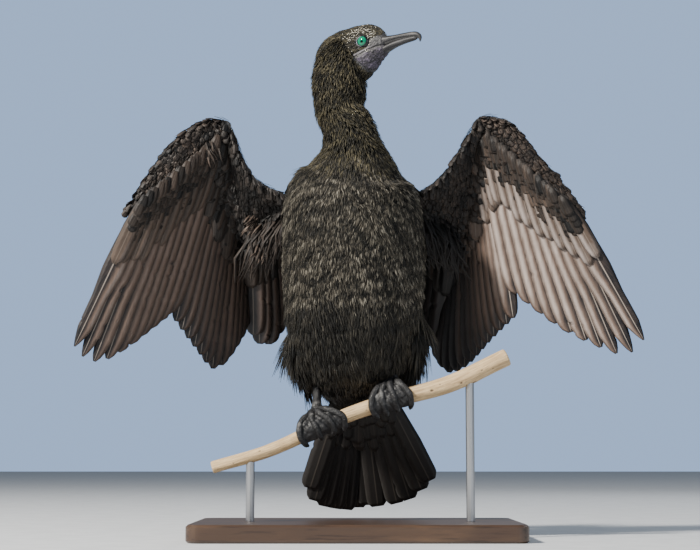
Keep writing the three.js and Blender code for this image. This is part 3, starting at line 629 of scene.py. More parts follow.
def scatter(rings, count, weigh=None):
    following = np.roll(rings, -1, axis=1)
    a, b, c, d = rings[:-1], following[:-1], following[1:], rings[1:]
    cross = np.cross(c - a, d - b)
    area = np.linalg.norm(cross, axis=2) / 2
    centre = rings.mean(axis=1)
    outward = (a + c) / 2 - ((centre[:-1] + centre[1:]) / 2)[:, None]
    normal = unit(cross) * np.sign(np.sum(cross * outward, axis=2, keepdims=True))
    middle = (a + b + c + d) / 4
    weight = area * (1 if weigh is None else weigh(middle, normal))
    total = np.cumsum(weight.ravel())
    picks = np.searchsorted(total, (np.arange(count) + rng.random(count)) / count * total[-1])
    i, j = np.unravel_index(np.minimum(picks, total.size - 1), weight.shape)
    u, v = rng.random((2, count, 1))
    place = lerp(lerp(a[i, j], b[i, j], v), lerp(d[i, j], c[i, j], v), u)
    along = unit(d[i, j] + c[i, j] - a[i, j] - b[i, j])
    spot = np.stack([(j + v[:, 0]) / rings.shape[1] * 0.99, (i + u[:, 0]) / (len(rings) - 1) * 0.99], -1)
    return place, normal[i, j], along, spot


def waves(place, size, phase):  # smooth wandering value from -1 to 1 over a few sizes
    p = place / size
    x, y, z = p[..., 0], p[..., 1], p[..., 2]
    return (np.sin(x * 1.3 + 2.1 * np.sin(z * 0.9 + phase)) + np.sin(z * 1.7 + 1.9 * np.sin(x * 1.1 - phase))
            + np.sin(y * 1.5 + x * 0.6 + z * 0.7 + phase * 1.7)) / 3


def scattered(amount, place):  # one random offset for each place
    return rng.normal(0, amount, len(place))


def laid(flow, normal, lift, turn):  # flow kept on the surface, turned on it, and lifted off it
    flow = unit(flow - normal * np.sum(flow * normal, axis=1, keepdims=True))
    side = np.cross(normal, flow)
    turn, lift = (np.broadcast_to(v, (len(flow),))[:, None] for v in (turn, lift))
    flow = flow * np.cos(turn) + side * np.sin(turn)
    return flow * np.cos(lift) + normal * np.sin(lift)


# Body plumage

coatFields = ("length", "width", "thick", "lift", "count", "inset")
coatKinds = {  # length, width and thickness in mm, lift in radians, how many, and how deep the roots lie
    "neck": (7.8, 0.95, 0.45, 0.36, 10400, 2.9),
    "neckUnder": (9, 4.4, 0.5, 0.1, 1200, 3.6),
    "breastUnder": (14, 6.6, 0.5, 0.03, 1300, 4.2),
    "breast": (8.2, 0.95, 0.5, 0.28, 13600, 3.2),
    "belly": (14, 1.5, 0.5, 0.24, 7400, 3.3),
    "bellyUnder": (20, 8.5, 0.5, 0.05, 1000, 4.0),
    "back": (21, 13, 0.6, 0.1, 1250, 3.6),
    "backHair": (15, 1.4, 0.5, 0.12, 3000, 3.4),
    "thigh": (33, 2.3, 0.6, 0.34, 1600, 3),
    "head": (5.2, 0.95, 0.42, 0.17, 12400, 1.4),
}
coatKinds = {kind: dict(zip(coatFields, values)) for kind, values in coatKinds.items()}
trunkCoats = {  # kind, height it starts at and how softly, height it ends at and how softly, side, tone, finish
    # tone sets how bright the painted sheen highlights of a coat get; the breast's is highest
    "neck_coat_under": ("neckUnder", 334, 6, 999, 12, "neck", 0.03, "under"),
    "neck_coat": ("neck", 328, 16, 999, 12, "neck", 0.13, "olive"),
    "breast_coat_under": ("breastUnder", 200, 6, 350, 12, "front", 0.03, "under"),
    "breast_coat_high": ("breast", 272, 6, 354, 30, "front", 0.22, "black"),
    "breast_coat_low": ("breast", 192, 22, 280, 8, "front", 0.22, "black"),
    "belly_coat_under": ("bellyUnder", 118, 6, 222, 12, "round", 0.02, "under"),
    "belly_coat": ("belly", 100, 6, 222, 20, "front", 0.07, "black"),
    "back_coat": ("back", 150, 6, 345, 12, "back", 0.1, "black"),
    "back_coat_fine": ("backHair", 130, 6, 352, 12, "back", 0.07, "black"),
}
trunkSides = {
    "neck": lambda place, normal: ~insideHead(place),
    "front": lambda place, normal: np.clip(0.75 - 1.6 * normal[..., 1], 0.0, 1.6),
    "back": lambda place, normal: np.clip(0.35 + 1.5 * normal[..., 1], 0.0, 1.6),
    "round": lambda place, normal: 1,
}
frayedBelow = 3  # narrower feathers are hairs, wider ones scales
rootDepth = {"body": 0.7, "wing": 0.6, "head": 0.4, "fine": 0.3}  # of a feather's root below its own rings


def sectionAt(rows, key, place):  # the columns of a table at a place in its column key
    rows = np.array(rows, float)
    rows = rows[np.argsort(rows[:, key])]
    return [np.interp(place, rows[:, key], column) for column in rows.T]


def insideHead(place):
    ahead, up, left = headPlace(place)
    _, crown, chin, wide = sectionAt(headSections, 0, ahead)
    middle, half = (crown + chin) / 2, (crown - chin) / 2
    return ((up - middle) / half) ** 2 + (left / wide) ** 2 + 9 * ((ahead < -54) | (ahead > 20)) < 0.86


def insideTrunk(place):  # good for the upright upper neck, where it matters
    x, y, _, wide, deep, _ = sectionAt(trunk, 2, place[..., 2])
    return ((place[..., 0] - x) / wide) ** 2 + ((place[..., 1] - y) / deep) ** 2 + 9 * (place[..., 2] > 456) < 0.5


def growTrunk(finishes):
    for name, (kind, low, rise, high, fall, side, tone, finish) in trunkCoats.items():
        values = coatKinds[kind]

        def weigh(place, normal):
            z = place[..., 2]
            return limit((z - low) / rise) * limit((high - z) / fall) * trunkSides[side](place, normal)

        place, normal, flow, spot = scatter(trunkRings(values["inset"]), values["count"], weigh)
        frayed = values["width"] < frayedBelow
        turn = waves(place, 11, 0.7) * 0.34 + waves(place, 4.5, 2.0) * 0.22 * frayed
        turn = turn + scattered(0.13 if frayed else 0.07, place)
        ripple = place[:, 2] / 2.0 + 3.2 * waves(place * np.array((1, 1, 0.3)), 15, 0.4) - 0.11 * place[:, 0]
        lower = limit((285 - place[:, 2]) / 50)
        # bands and shade paint the sheen of the glossy plumage into its tone: lighter ripples low on the breast and
        # lighter dabs are painted highlights
        bands = 0.26 * lower * np.sin(ripple) + 0.55 * waves(place, 1.8, 1.3) + 0.35 * waves(place, 7, 0.6)
        lift = values["lift"] * (1 + 0.45 * bands) + scattered(0.04, place)
        lift = lift * (1 - 0.6 * bell(place[:, 2] - 345, 9))  # flat where the neck's coat ends
        length = values["length"] * rng.uniform(0.75, 1.15, len(place)) * (1 + 0.12 * bands)
        shade = np.clip(0.27 + 0.8 * bands + scattered(0.3, place), 0, 1.1)
        width = values["width"] * rng.uniform(0.75, 1.2, len(place))
        coat = Coat()
        coat.lay(place, normal, "body", flow, lift, turn, length, width, values["thick"],
                 "hair" if frayed else "scale", tone=0.02 + tone * 2.7 * shade ** 1.4, bow=0.045,
                 camber=0.0 if frayed else 0.035, spot=spot)
        coat.build(name, finishes[finish], "plumage")


def growThighs(material):
    values = coatKinds["thigh"]
    for name, leg in legs.items():
        place, normal, flow, spot = scatter(thighRings(leg, values["inset"]), values["count"])
        outer = limit(normal[:, 0] * leg["side"])
        low = limit((200 - place[:, 2]) / 50)
        clump = waves(place, 3.4, 0.9)
        turn = waves(place, 4, 1.1) * 0.5 + scattered(0.07, place)
        lift = values["lift"] * (0.4 + 1.2 * low * outer) * (1 + 0.5 * clump)
        length = values["length"] * rng.uniform(0.6, 1.0, len(place)) * (0.75 + 0.3 * outer) * (1 + 0.35 * clump)
        shade = limit(0.07 + 0.2 * waves(place, 6, 0.3) + scattered(0.05, place))
        coat = Coat()
        coat.lay(place, normal, "body", flow, lift, turn, length, values["width"], values["thick"], "hair",
                 tone=shade, bow=0.05, spot=spot)
        coat.build(f"thigh_coat_{name}", material, "plumage", f"thigh_{name}")


# Head: fine down, bare face, flecks

mouthLine = [(-9, -14.4), (-2, -11.6), (6, -7.8), (13, -5.4), (19, -4.6)]  # ahead and up of the head's centre
eyeSettings = {"ahead": 0.7, "up": 0.5, "out": 8.6, "radius": 7, "lidOut": 13.3, "lidRing": 4.85, "lidThick": 0.45}
gularCorners = [(-5.5, -15.2), (6, -9.2), (20, -5.5), (21, -20), (9, -25.5), (3, -26)]
loreCorners = [(5.5, -5), (7, 1.5), (14, 4.5), (22, 6), (22, -4), (13, -5)]


def inCorners(x, y, corners):
    inside = np.zeros(np.shape(x), bool)
    for (x1, y1), (x2, y2) in zip(corners, corners[1:] + corners[:1]):
        crosses = (y1 > y) != (y2 > y)
        inside ^= crosses & (x < (x2 - x1) * (y - y1) / (y2 - y1 + 1e-9) + x1)
    return inside


def softMask(x, y, corners, blur):
    offsets = [(dx * blur, dy * blur) for dx in (-1, -0.33, 0.33, 1) for dy in (-1, -0.33, 0.33, 1)]
    return np.mean([inCorners(x + dx, y + dy, corners) for dx, dy in offsets], axis=0)


def overMouth(ahead, up):
    return up - np.interp(ahead, *zip(*mouthLine))


def fromEye(ahead, up):
    return np.hypot(ahead - eyeSettings["ahead"], up - eyeSettings["up"])


def growHead(material):
    values = coatKinds["head"]

    def weigh(place, normal):
        ahead, up, _ = headPlace(place)
        clear = (fromEye(ahead, up) > 6.2) & (ahead < 18.5) & ~insideTrunk(place)
        clear &= ~inCorners(ahead, up, gularCorners) & ~inCorners(ahead, up, loreCorners)
        over = overMouth(ahead, up)
        clear &= ~((ahead > -9.5) & (over > -2.4) & (over < 2.7))
        return clear * (1 + 0.5 * (ahead > -10))

    place, normal, _, spot = scatter(headRings(values["inset"], each=10), values["count"], weigh)
    ahead, up, _ = headPlace(place)
    back = limit((-ahead - 8) / 30)
    low = limit((-up - 8) / 20)
    flow = -forward - upward * (0.25 + 1.1 * np.maximum(back, low))[:, None]
    turn = waves(place, 6, 0.2) * 0.25 + scattered(0.1, place)
    size = 0.6 + 0.85 * limit((10 - ahead) / 50)
    lift = values["lift"] * (1 + 0.5 * waves(place, 5, 1.9) + 1.3 * back) + scattered(0.05, place)
    # the lighter tone towards the back and side of the head, and the waves over it, are painted olive sheen highlights
    base = 0.05 + 0.06 * limit((-ahead - 12) / 14) * (up > -18)
    shade = base * (1 + 1.6 * waves(place, 1.5, 0.5) + waves(place, 7, 2.4)) + scattered(0.08, place)
    shade = limit(shade - 0.1 * np.exp(-(((ahead + 14) / 9) ** 2 + ((up + 7) / 7) ** 2)))  # dark behind the eye
    coat = Coat()
    coat.lay(place, normal, "head", flow, lift, turn, values["length"] * size,
             values["width"] * (0.8 + 0.3 * size), values["thick"], "hair", tone=shade, bow=0.03, spot=spot)
    coat.build("head_coat", material, "plumage", "head")


fleckSettings = {"count": 210, "inset": 0.2, "length": (1.0, 1.9), "width": 0.62, "thick": 0.45, "lift": 0.3}


def growFlecks(material):  # white flecks round the eye
    def weigh(place, normal):
        ahead, up, _ = headPlace(place)
        ring = np.hypot(ahead + 1, up - 1)
        near = (ring > 7.2) & (ahead < 13) & (ahead > -46) & (up > -9) & (up < 18)
        return near * (bell(ring - 11, 5) * (0.25 + (up > 3)) + 0.03)

    rings = headRings(fleckSettings["inset"], each=10)
    place, normal, _, spot = scatter(rings, fleckSettings["count"], weigh)
    turn = scattered(0.7, place)
    flow = -forward - upward * 0.35 + 0 * place
    length = rng.uniform(*fleckSettings["length"], len(place))
    coat = Coat()
    coat.lay(place, normal, "fine", flow, fleckSettings["lift"], turn, length, fleckSettings["width"],
             fleckSettings["thick"], "hair", tone=1.0, bow=0.05, spot=spot)
    coat.build("white_flecks", material, "plumage")


def makeFace(material):  # the front of the head, with the bare skin of face and throat pouch
    rings = headRings(0, sides=180, each=26, first=-22, last=20.5)
    ahead, up, _ = headPlace(rings)
    outward = unit(rings - rings.mean(axis=1, keepdims=True))
    gular = softMask(ahead, up, gularCorners, 0.8)
    lore = softMask(ahead, up, loreCorners, 1.0)
    over = overMouth(ahead, up)
    groove = bell(over, 0.5) * (ahead > -9)
    stripe = bell(over - 1.3, 0.75) * limit((ahead + 9.5) / 2) * limit((15 - ahead) / 9)
    socket = np.exp(-(fromEye(ahead, up) / 5.4) ** 4)
    wrinkles = 1.3 * np.abs(waves(rings, 1.5, 0.4)) + 0.7 * np.abs(waves(rings, 0.7, 1.4))
    offset = -1.5 + 0.9 * gular + 0.35 * lore - 1.1 * groove - 3.2 * socket + 0.75 * (wrinkles - 0.5) * gular
    offset = offset + 0.18 * (wrinkles - 0.5) * lore + 0.5 * stripe
    face = loftObject("face_skin", rings + outward * offset[..., None], material)
    for name, values in (("gular", gular), ("lore", lore), ("stripe", stripe)):
        setAttribute(face, name, values)
    finishPiece(face, "plumage", "head")


def faceFinish():
    finish = Finish("bare face skin", Roughness=0.55, Specular_IOR_Level=0.5)
    grain = finish.noise(520, 4, 0.65)
    cells = finish.cells(650)
    plum = finish.mix(grain.between(0.3, 0.7), (0.022, 0.018, 0.03), (0.115, 0.094, 0.14))
    dark = finish.mix(grain.between(0.35, 0.7), (0.012, 0.012, 0.013), (0.05, 0.05, 0.055))
    folds = finish.noise(170, 3, 0.7, finish.stretch((1, 1, 2.2)))
    # painted shade in the folds of the throat pouch
    plum = finish.mix(folds.between(0.4, 0.58) * 0.9, plum, (0.01, 0.009, 0.012))
    colour = finish.mix(finish.attribute("gular"), dark, plum)
    pale = finish.mix(grain, (0.16, 0.15, 0.17), (0.4, 0.37, 0.38))
    colour = finish.mix(finish.attribute("stripe") * 0.75, colour, pale)
    return finish.finished(colour, cells + grain * 0.7 + folds * 1.5, 0.6, 0.0005)


# Eyes and bill

def eyeFinish():
    finish = Finish("emerald iris", Roughness=0.08, Coat_Weight=0.35, Coat_Roughness=0.02, Specular_IOR_Level=0.3)
    ring = finish.attribute("ring")
    turn = finish.attribute("turn")
    rays = finish.noise(1, 3, 0.6, finish.join(turn.math("COSINE") * 9, turn.math("SINE") * 9, ring * 1.5))
    iris = finish.mix(rays.between(0.3, 0.72), (0.0, 0.1, 0.05), (0.0, 0.24, 0.125))
    iris = finish.mix(ring.between(3.5, 4.5) * 0.7, iris, (0.0, 0.06, 0.04))
    colour = finish.mix(finish.attribute("pupil").between(1.3, 1.45), (0.002, 0.002, 0.002), iris)
    colour = finish.mix(ring.between(4.15, 4.5), colour, (0.006, 0.006, 0.007))
    finish.put("Base Color", colour)
    return finish.material


def makeEyeball(name, axis, centre, material):
    bpy.ops.object.select_all(action="DESELECT")
    bpy.ops.mesh.primitive_uv_sphere_add(segments=72, ring_count=60, radius=eyeSettings["radius"] * mm,
                                         location=centre * mm, rotation=Vector(axis).to_track_quat("Z", "Y").to_euler())
    eye = bpy.context.view_layer.objects.active
    bpy.ops.object.transform_apply(location=True, rotation=True, scale=True)
    bpy.ops.object.shade_smooth()
    eye.name = eye.data.name = f"eyeball_{name}"
    eye.data.materials.append(material)
    verts = np.zeros(len(eye.data.vertices) * 3)
    eye.data.vertices.foreach_get("co", verts)
    off = verts.reshape(-1, 3) / mm - centre
    gaze = unit(axis + 0.06 * forward - 0.13 * upward)
    for key, middle in (("ring", axis), ("pupil", gaze)):  # distance from the line through the eye's front
        flat = off - (off @ middle)[:, None] * middle
        beside = np.linalg.norm(flat, axis=1)
        setAttribute(eye, key, np.where(off @ middle > 0, beside, eyeSettings["radius"]))
    flat = off - (off @ axis)[:, None] * axis
    setAttribute(eye, "turn", np.arctan2(flat @ upward, flat @ np.cross(axis, upward)))
    finishPiece(eye, "eye", f"eye_{name}")


def makeLid(name, axis, centre, material):  # a beaded ring round the eye
    t = circle(120)
    sideways = unit(np.cross(upward, axis))
    upright = np.cross(axis, sideways)
    reach = eyeSettings["lidRing"] * (1 + 0.04 * np.cos(2 * t))
    path = centre + np.outer(np.cos(t) * reach, sideways) + np.outer(np.sin(t) * reach * 0.97, upright)
    bead = eyeSettings["lidThick"] * (1 + 0.22 * np.abs(np.sin(t * 21)))[:, None]
    angle = circle(12)
    rings = path[:, None] + unit(path - centre)[:, None] * (np.cos(angle) * bead * 1.15)[..., None]
    rings = rings + axis * (np.sin(angle) * bead)[..., None]
    faces = gridFaces(*rings.shape[:2], rowLoop=1)
    lid = meshObject(f"eyelid_{name}", rings.reshape(-1, 3), faces, material)
    makeOutward(lid)
    finishPiece(lid, "plumage")


def makeEyes(irisMaterial, lidMaterial):
    for name, side in (("left", 1), ("right", -1)):
        axis = unit(leftward * side + forward * 0.16)
        place = lambda key: inHead(eyeSettings["ahead"], eyeSettings["up"], side * eyeSettings[key])
        makeEyeball(name, axis, place("out"), irisMaterial)
        makeLid(name, axis, place("lidOut"), lidMaterial)


upperBill = [  # ahead, up, half depth, half width
    (6, 0.6, 7.9, 7.9), (9, 1, 7.6, 7.4), (14, 1, 6, 6.8), (20, 1, 4.6, 6.0), (30, 1.9, 3.1, 4.4),
    (40, 2.4, 2.9, 3.6), (49, 2.3, 3.0, 3.1), (53.5, 1.4, 2.8, 2.5), (56.6, -1.2, 2, 1.6), (57, -5.2, 0.5, 0.45),
]
lowerBill = [
    (6, -12.2, 4.2, 8), (14, -8.6, 3.7, 6.9), (20, -6.9, 3.2, 5.7), (30, -3.9, 2.9, 4.2), (40, -2.3, 2.5, 3.2),
    (50, -1.3, 2.2, 2.5), (53.2, -1.2, 1.5, 1.5),
]


def makeBill(material):
    for name, node, stations, groove in (("bill_top", "bill_upper", upperBill, 1),
                                         ("bill_under", "bill_lower", lowerBill, 0)):
        table = smoothTable(stations, 12)
        path = np.array([inHead(ahead, up, 0) for ahead, up in table[:, :2]])
        sides = 48
        rings = tubeRings(path, table[:, [3, 2]], leftward, sides)
        fromTop = np.sin(circle(sides)) + 1
        ridge = 1 + 0.09 * groove * bell(fromTop, 0.12)
        dent = 1 - 0.1 * groove * bell(np.sin(circle(sides)) + 0.62, 0.14)
        share = limit((table[:, 0] - 10) / 12) * limit((55 - table[:, 0]) / 6)
        scale = 1 + (ridge * dent - 1) * share[:, None]
        flakes = 1 + 0.012 * waves(rings, 1.2, 0.6)
        rings = path[:, None] + (rings - path[:, None]) * (scale * flakes)[..., None]
        bill = dressForm(name, rings, material, "bill", node)
        # ridge marks the top of the upper bill, where a painted highlight goes
        setAttribute(bill, "ridge", np.broadcast_to(bell(fromTop, 0.3) * groove, scale.shape))


def billFinish():
    finish = Finish("dark horn", Roughness=0.5, Specular_IOR_Level=0.35)
    turned = finish.node("ShaderNodeMapping", {}, {"Vector": finish.place(), "Rotation": (0, 0, -headTurn)})
    streaks = finish.noise(240, 4, 0.6, finish.stretch((0.14, 1, 1.4), turned))
    blotch = finish.noise(120, 3, 0.6)
    colour = finish.mix(streaks.between(0.3, 0.7), (0.009, 0.0095, 0.0105), (0.055, 0.054, 0.057))
    colour = finish.mix(blotch.between(0.52, 0.75) * 0.5, colour, (0.1, 0.094, 0.09))
    # painted highlight along the top of the upper bill
    colour = finish.mix(finish.attribute("ridge") * 0.4, colour, (0.15, 0.146, 0.14))
    return finish.finished(colour, streaks + blotch * 0.5, 0.3, 0.0003)


# Flight feathers and coverts of the wings

flightShares = [0, 0.06, 0.14, 0.22, 0.3, 0.38, 0.46, 0.53, 0.6, 0.66, 0.72, 0.78, 0.83, 0.88, 0.92, 0.95, 0.975, 1]
flightOutline = [0.3, 0.5, 0.7, 0.84, 0.92, 0.97, 1, 1, 1, 1, 1, 0.99, 0.97, 0.93, 0.87, 0.78, 0.62, 0.24]
# each row of greater coverts: how many, width, reach along the flight feathers, lifts of root and tip off their sheet
wingTiers = {
    "hand": {"flights": 10, "width": 20.5, "rows": [(10, 13.5, 0.45, 1.5, 2.4), (11, 15, 0.42, -1.5, -2.4)]},
    "forearm": {"flights": 13, "width": 18.5, "rows": [(13, 14.5, 0.4, 1.5, 2.4), (14, 14, 0.44, -1.5, -2.4)]},
    "upperArm": {"flights": 7, "width": 23, "rows": [(7, 18, 0.5, 1.8, 3), (7, 18, 0.52, -1.8, -3)]},
}
scaleRows = {  # on both faces of a wing: place along the flight feathers, rows, and size of the coverts
    "from": 0.01, "to": 0.225, "rows": 10, "perRow": 17, "length": 17, "width": 10.5, "lifts": (2.2, 5.0),
}
louver = math.radians(6.5)
sheetLean, sheetBow = 5, -3
sheetShift = {"hand": 0.65, "forearm": -0.5, "upperArm": -0.5}  # the hand's feathers lie in front of the forearm's
wingToneAndPaintedLight = {  # inner and outer tone of the flight feathers, of the greater coverts, and the scaly coverts' tone. These tones also paint the light: the left wing's bright, silvery hand and outer forearm are painted sunlit, the right wing, lit at a grazing angle, is painted duller, and the left forearm's near-black inner feathers are painted shadow of the body
    "left": {"hand": (0.88, 0.8, 0.7, 0.8, 0.12), "forearm": (0.02, 0.75, 0.1, 0.7, 0.09),
             "upperArm": (0.02, 0.05, 0.02, 0.04, 0.04)},
    "right": {"hand": (0.42, 0.56, 0.3, 0.42, 0.11), "forearm": (0.32, 0.4, 0.1, 0.18, 0.045),
              "upperArm": (0.12, 0.2, 0.05, 0.1, 0.04)},
}


def splits(count, shares, depth, chance):  # ragged vanes: here and there a barb row stands apart
    left = np.ones((count, len(shares), 2))
    gaps = rng.random(left.shape) < chance
    left[gaps] -= depth * rng.uniform(0.35, 1, gaps.sum())
    left[:, :4] = 1
    return left


def growWing(name, flightMaterial, covertMaterial):
    wing = wings[name]
    side = wing["side"]
    sheets = sheetsOf(wing)
    for part, tiers in wingTiers.items():
        rootAt, tipAt = sheets[part]
        innerTone, outerTone, innerCovert, outerCovert, scaleTone = wingToneAndPaintedLight[name][part]
        partName = {"upperArm": "upper_arm"}.get(part, part)
        count = tiers["flights"]
        t = steps(count)
        face = faceAt(sheets[part], t)
        lean = (sheetLean * (t + sheetShift[part]))[:, None]
        root, tip = rootAt(t) + face * lean, tipAt(t) + face * lean
        reach = np.linalg.norm(tip - root, axis=1)
        shares = np.array(sorted(set(flightShares + list(np.linspace(0.24, 0.98, 30)))))
        outline = np.repeat(np.interp(shares, flightShares, flightOutline)[None], count, axis=0)
        if part == "hand":  # the outer primaries are notched, and taper to fingers
            finger = limit((t - 0.45) * 2)[:, None]
            taper = 0.3 * limit((shares - 0.5) / 0.18) + 0.4 * limit((shares - 0.88) / 0.12)
            outline = outline * (1 - finger * taper)
        # the forearm's tone rises late, so on the left wing its inner feathers stay in painted shadow
        shade = limit(lerp(innerTone, outerTone, t ** (2.2 if part == "forearm" else 1)))
        coat = Coat()
        coat.add(root, tip - root, face, reach, tiers["width"], 0.7, (shares, outline, "flight"),
                 tone=limit(shade + rng.normal(0, 0.04, count)), bow=sheetBow / reach, camber=0.006,
                 tilt=-side * louver, notch=splits(count, shares, 0.16, 0.03), narrow=(1 + 0.2 * side, 1 - 0.2 * side),
                 outer=side, spot=np.stack([0.02 + 0.88 * t, 0.02 + 0 * t], -1), patch=(0.062, 0.9))
        coat.build(f"flight_{name}_{partName}", flightMaterial, "flight_feather", f"wing_{name}_{partName}")

        coat = Coat()

        def row(many, wide, fromShare, toShare, lifts, tone, jitter, level):
            greater = wide > 12
            form = "covert" if greater else "scale"
            t = np.linspace(*(0.0, 1.0) if greater else (0.03, 0.97), many)
            t = np.clip(t + rng.normal(0, jitter, many), -0.02, 1.02)
            face = faceAt(sheets[part], limit(t))
            lean = (sheetLean * (t + sheetShift[part]))[:, None]
            inner, outer = rootAt(t), tipAt(limit(t))
            slack = rng.uniform(0.93, 1.07, many)[:, None]
            bowAt = lambda share: 4 * share * (1 - share) * sheetBow
            start = lerp(inner, outer, fromShare) + face * (lifts[0] + lean + bowAt(fromShare))
            end = lerp(inner, outer, toShare * slack) + face * (lifts[1] + lean + bowAt(toShare))
            long = np.linalg.norm(end - start, axis=1)
            along = end - start + rng.normal(0, 12 * jitter, (many, 3)) * (long / 12)[:, None]
            out = -1 if lifts[0] < 0 else 1
            coat.add(start, along, face * out, long, wide * rng.uniform(0.88, 1.1, many), 0.55, form,
                     tone=limit(tone), bow=0.02, camber=0.014, outer=side, tilt=-side * out * louver * 0.9,
                     notch=splits(many, featherForms[form][0], 0.2, 0.1),
                     spot=np.stack([0.02 + 0.9 * limit(t), np.full(many, level)], -1),
                     patch=(0.045, 0.14) if greater else 0.003)

        for many, wide, share, rootLift, tipLift in tiers["rows"]:
            tone = lerp(innerCovert, outerCovert, steps(many)) if rootLift > 0 else 0.1
            row(many, wide, 0.02, share, (rootLift, tipLift), tone + rng.normal(0, 0.06, many), 0.004,
                0.02 if rootLift > 0 else 0.2)
        meanReach = reach.mean()
        places = np.linspace(scaleRows["to"], scaleRows["from"], scaleRows["rows"])
        for k, share in enumerate(places):
            many = scaleRows["perRow"] + (k % 2)
            high = lerp(*scaleRows["lifts"], k / (len(places) - 1))
            for out in (1, -1):
                tone = scaleTone + rng.normal(0, 0.5 * scaleTone, many) + 1.7 * scaleTone * (rng.random(many) < 0.12)
                row(many, scaleRows["width"], share, share + scaleRows["length"] / meanReach,
                    (out * high, out * (high + 1.0)), tone, 0.02, 0.4 + 0.5 * share / 0.225 + 0.025 * (out > 0))
        coat.build(f"coverts_{name}_{partName}", covertMaterial, "plumage")


plumeTone = {"left": (0.01, 0.05), "right": (0.03, 0.2)}
plumeCount = 170
tufts = [  # of the right wing: centre, lie, how many, lengths and tones
    ((-140, 3, 366), (0.5, -0.12, -1), 16, (9, 16), (0.1, 0.45)),
    ((-96, 22, 297), (-0.75, -0.3, -0.8), 18, (10, 16), (0.25, 0.6)),
    ((-92, 20, 270), (-0.3, -0.3, -1), 12, (8, 12), (0.2, 0.5)),
]


def growPlumes(coat, name):  # loose axillary plumes below the upper arm, and the paler tufts of one wing
    wing = wings[name]
    face = np.array((0, -1.0, 0))
    size = (plumeCount, 3)
    middle = lerp(wing["shoulder"], wing["elbow"], rng.uniform(0.3, 0.97, (plumeCount, 1)))
    root = middle + np.array((0, -10.5, -3)) + rng.normal(0, (1, 1, 3), size)
    along = np.array((0.14 * wing["side"], -0.02, -1)) + rng.normal(0, (0.16, 0.06, 0.05), size)
    coat.add(root, along, face, rng.uniform(18, 50, plumeCount), rng.uniform(2, 3.4, plumeCount), 0.5, "hair",
             tone=rng.uniform(*plumeTone[name], plumeCount), bow=0.04, sweep=rng.normal(0, 0.1, plumeCount))
    for centre, lie, many, long, tones in tufts if name == "right" else []:
        root = np.array(centre, float) + rng.normal(0, (2.8, 1.2, 3.5), (many, 3))
        along = np.array(lie) + rng.normal(0, 0.22, (many, 3))
        coat.add(root, along, face, rng.uniform(*long, many), 2.2, 0.5, "hair", tone=rng.uniform(*tones, many),
                 bow=0.08)


edgeScales = {"hand": 560, "forearm": 330, "upperArm": 200, "patagium": 640}  # how many
edgeInset = {"arm": 1.6, "patagium": 0.2}


def growWingScales(name, material):  # the small scaly coverts along the leading edge, on both faces
    wing = wings[name]
    sheets = sheetsOf(wing)
    coat = Coat()
    for part, count in edgeScales.items():
        flap = part == "patagium"
        rings = patagiumRings(wing, edgeInset[part]) if flap else armRings(wing, part, edgeInset["arm"])
        key = "forearm" if flap else part
        start, end = (wing[k] for k in armEnds[key])
        bone = end - start
        rootAt, tipAt = sheets[key]
        scaleTone = wingToneAndPaintedLight[name][key][-1]

        def lieOf(place):
            t = limit(((place - start) @ bone) / (bone @ bone))
            t = 1 - t if key == "forearm" else t
            return unit(tipAt(t) - rootAt(t)) + 0.7 * unit(bone) * (key == "hand")

        place, normal, _, spot = scatter(rings, count)
        turn = rng.normal(0, 0.12, count) + 0.25 * waves(place, 9, 0.5)
        shade = limit(scaleTone * (1 + 1.3 * waves(place, 7, 0.9)) + rng.normal(0, 0.5 * scaleTone, count))
        coat.lay(place, normal, "wing", lieOf(place), 0.16, turn, rng.uniform(8, 12, count),
                 rng.uniform(5, 7, count), 0.5, "scale", tone=shade, bow=0.05, camber=0.04, spot=spot)
        hairs = int(count * 1.3)
        place, normal, _, spot = scatter(rings, hairs)
        turn = rng.normal(0, 0.25, hairs)
        lift = rng.uniform(0.18, 0.34, hairs)
        coat.lay(place, normal, "fine", lieOf(place), lift, turn, rng.uniform(5, 9.5, hairs),
                 1.0, 0.45, "hair", tone=scaleTone * rng.uniform(0.3, 1.8, hairs), bow=0.04, spot=spot)
    growPlumes(coat, name)
    coat.build(f"scales_{name}", material, "plumage")


# Tail

tailSettings = {"pivot": (1, 36, 186), "rootReach": 50, "lean": 20, "step": 0.8, "width": 21,
                "angles": [-17.3, -14.4, -10.8, -7.4, -3.8, 0, 3.4, 6.6, 13.0, 17.5, 22.4, 26.4],
                "lengths": [158, 167, 169, 171, 172, 170, 169, 170, 169, 168, 163, 157],
                "shares": [0, 0.2, 0.6, 0.93, 0.98, 1], "outline": [0.35, 0.75, 1, 0.98, 0.8, 0.55]}
tailCoverts = [(112, 4.6, 9), (100, 5.8, 10), (86, 7, 10), (112, -1.6, 9), (98, -3, 10), (84, -4.5, 10)]


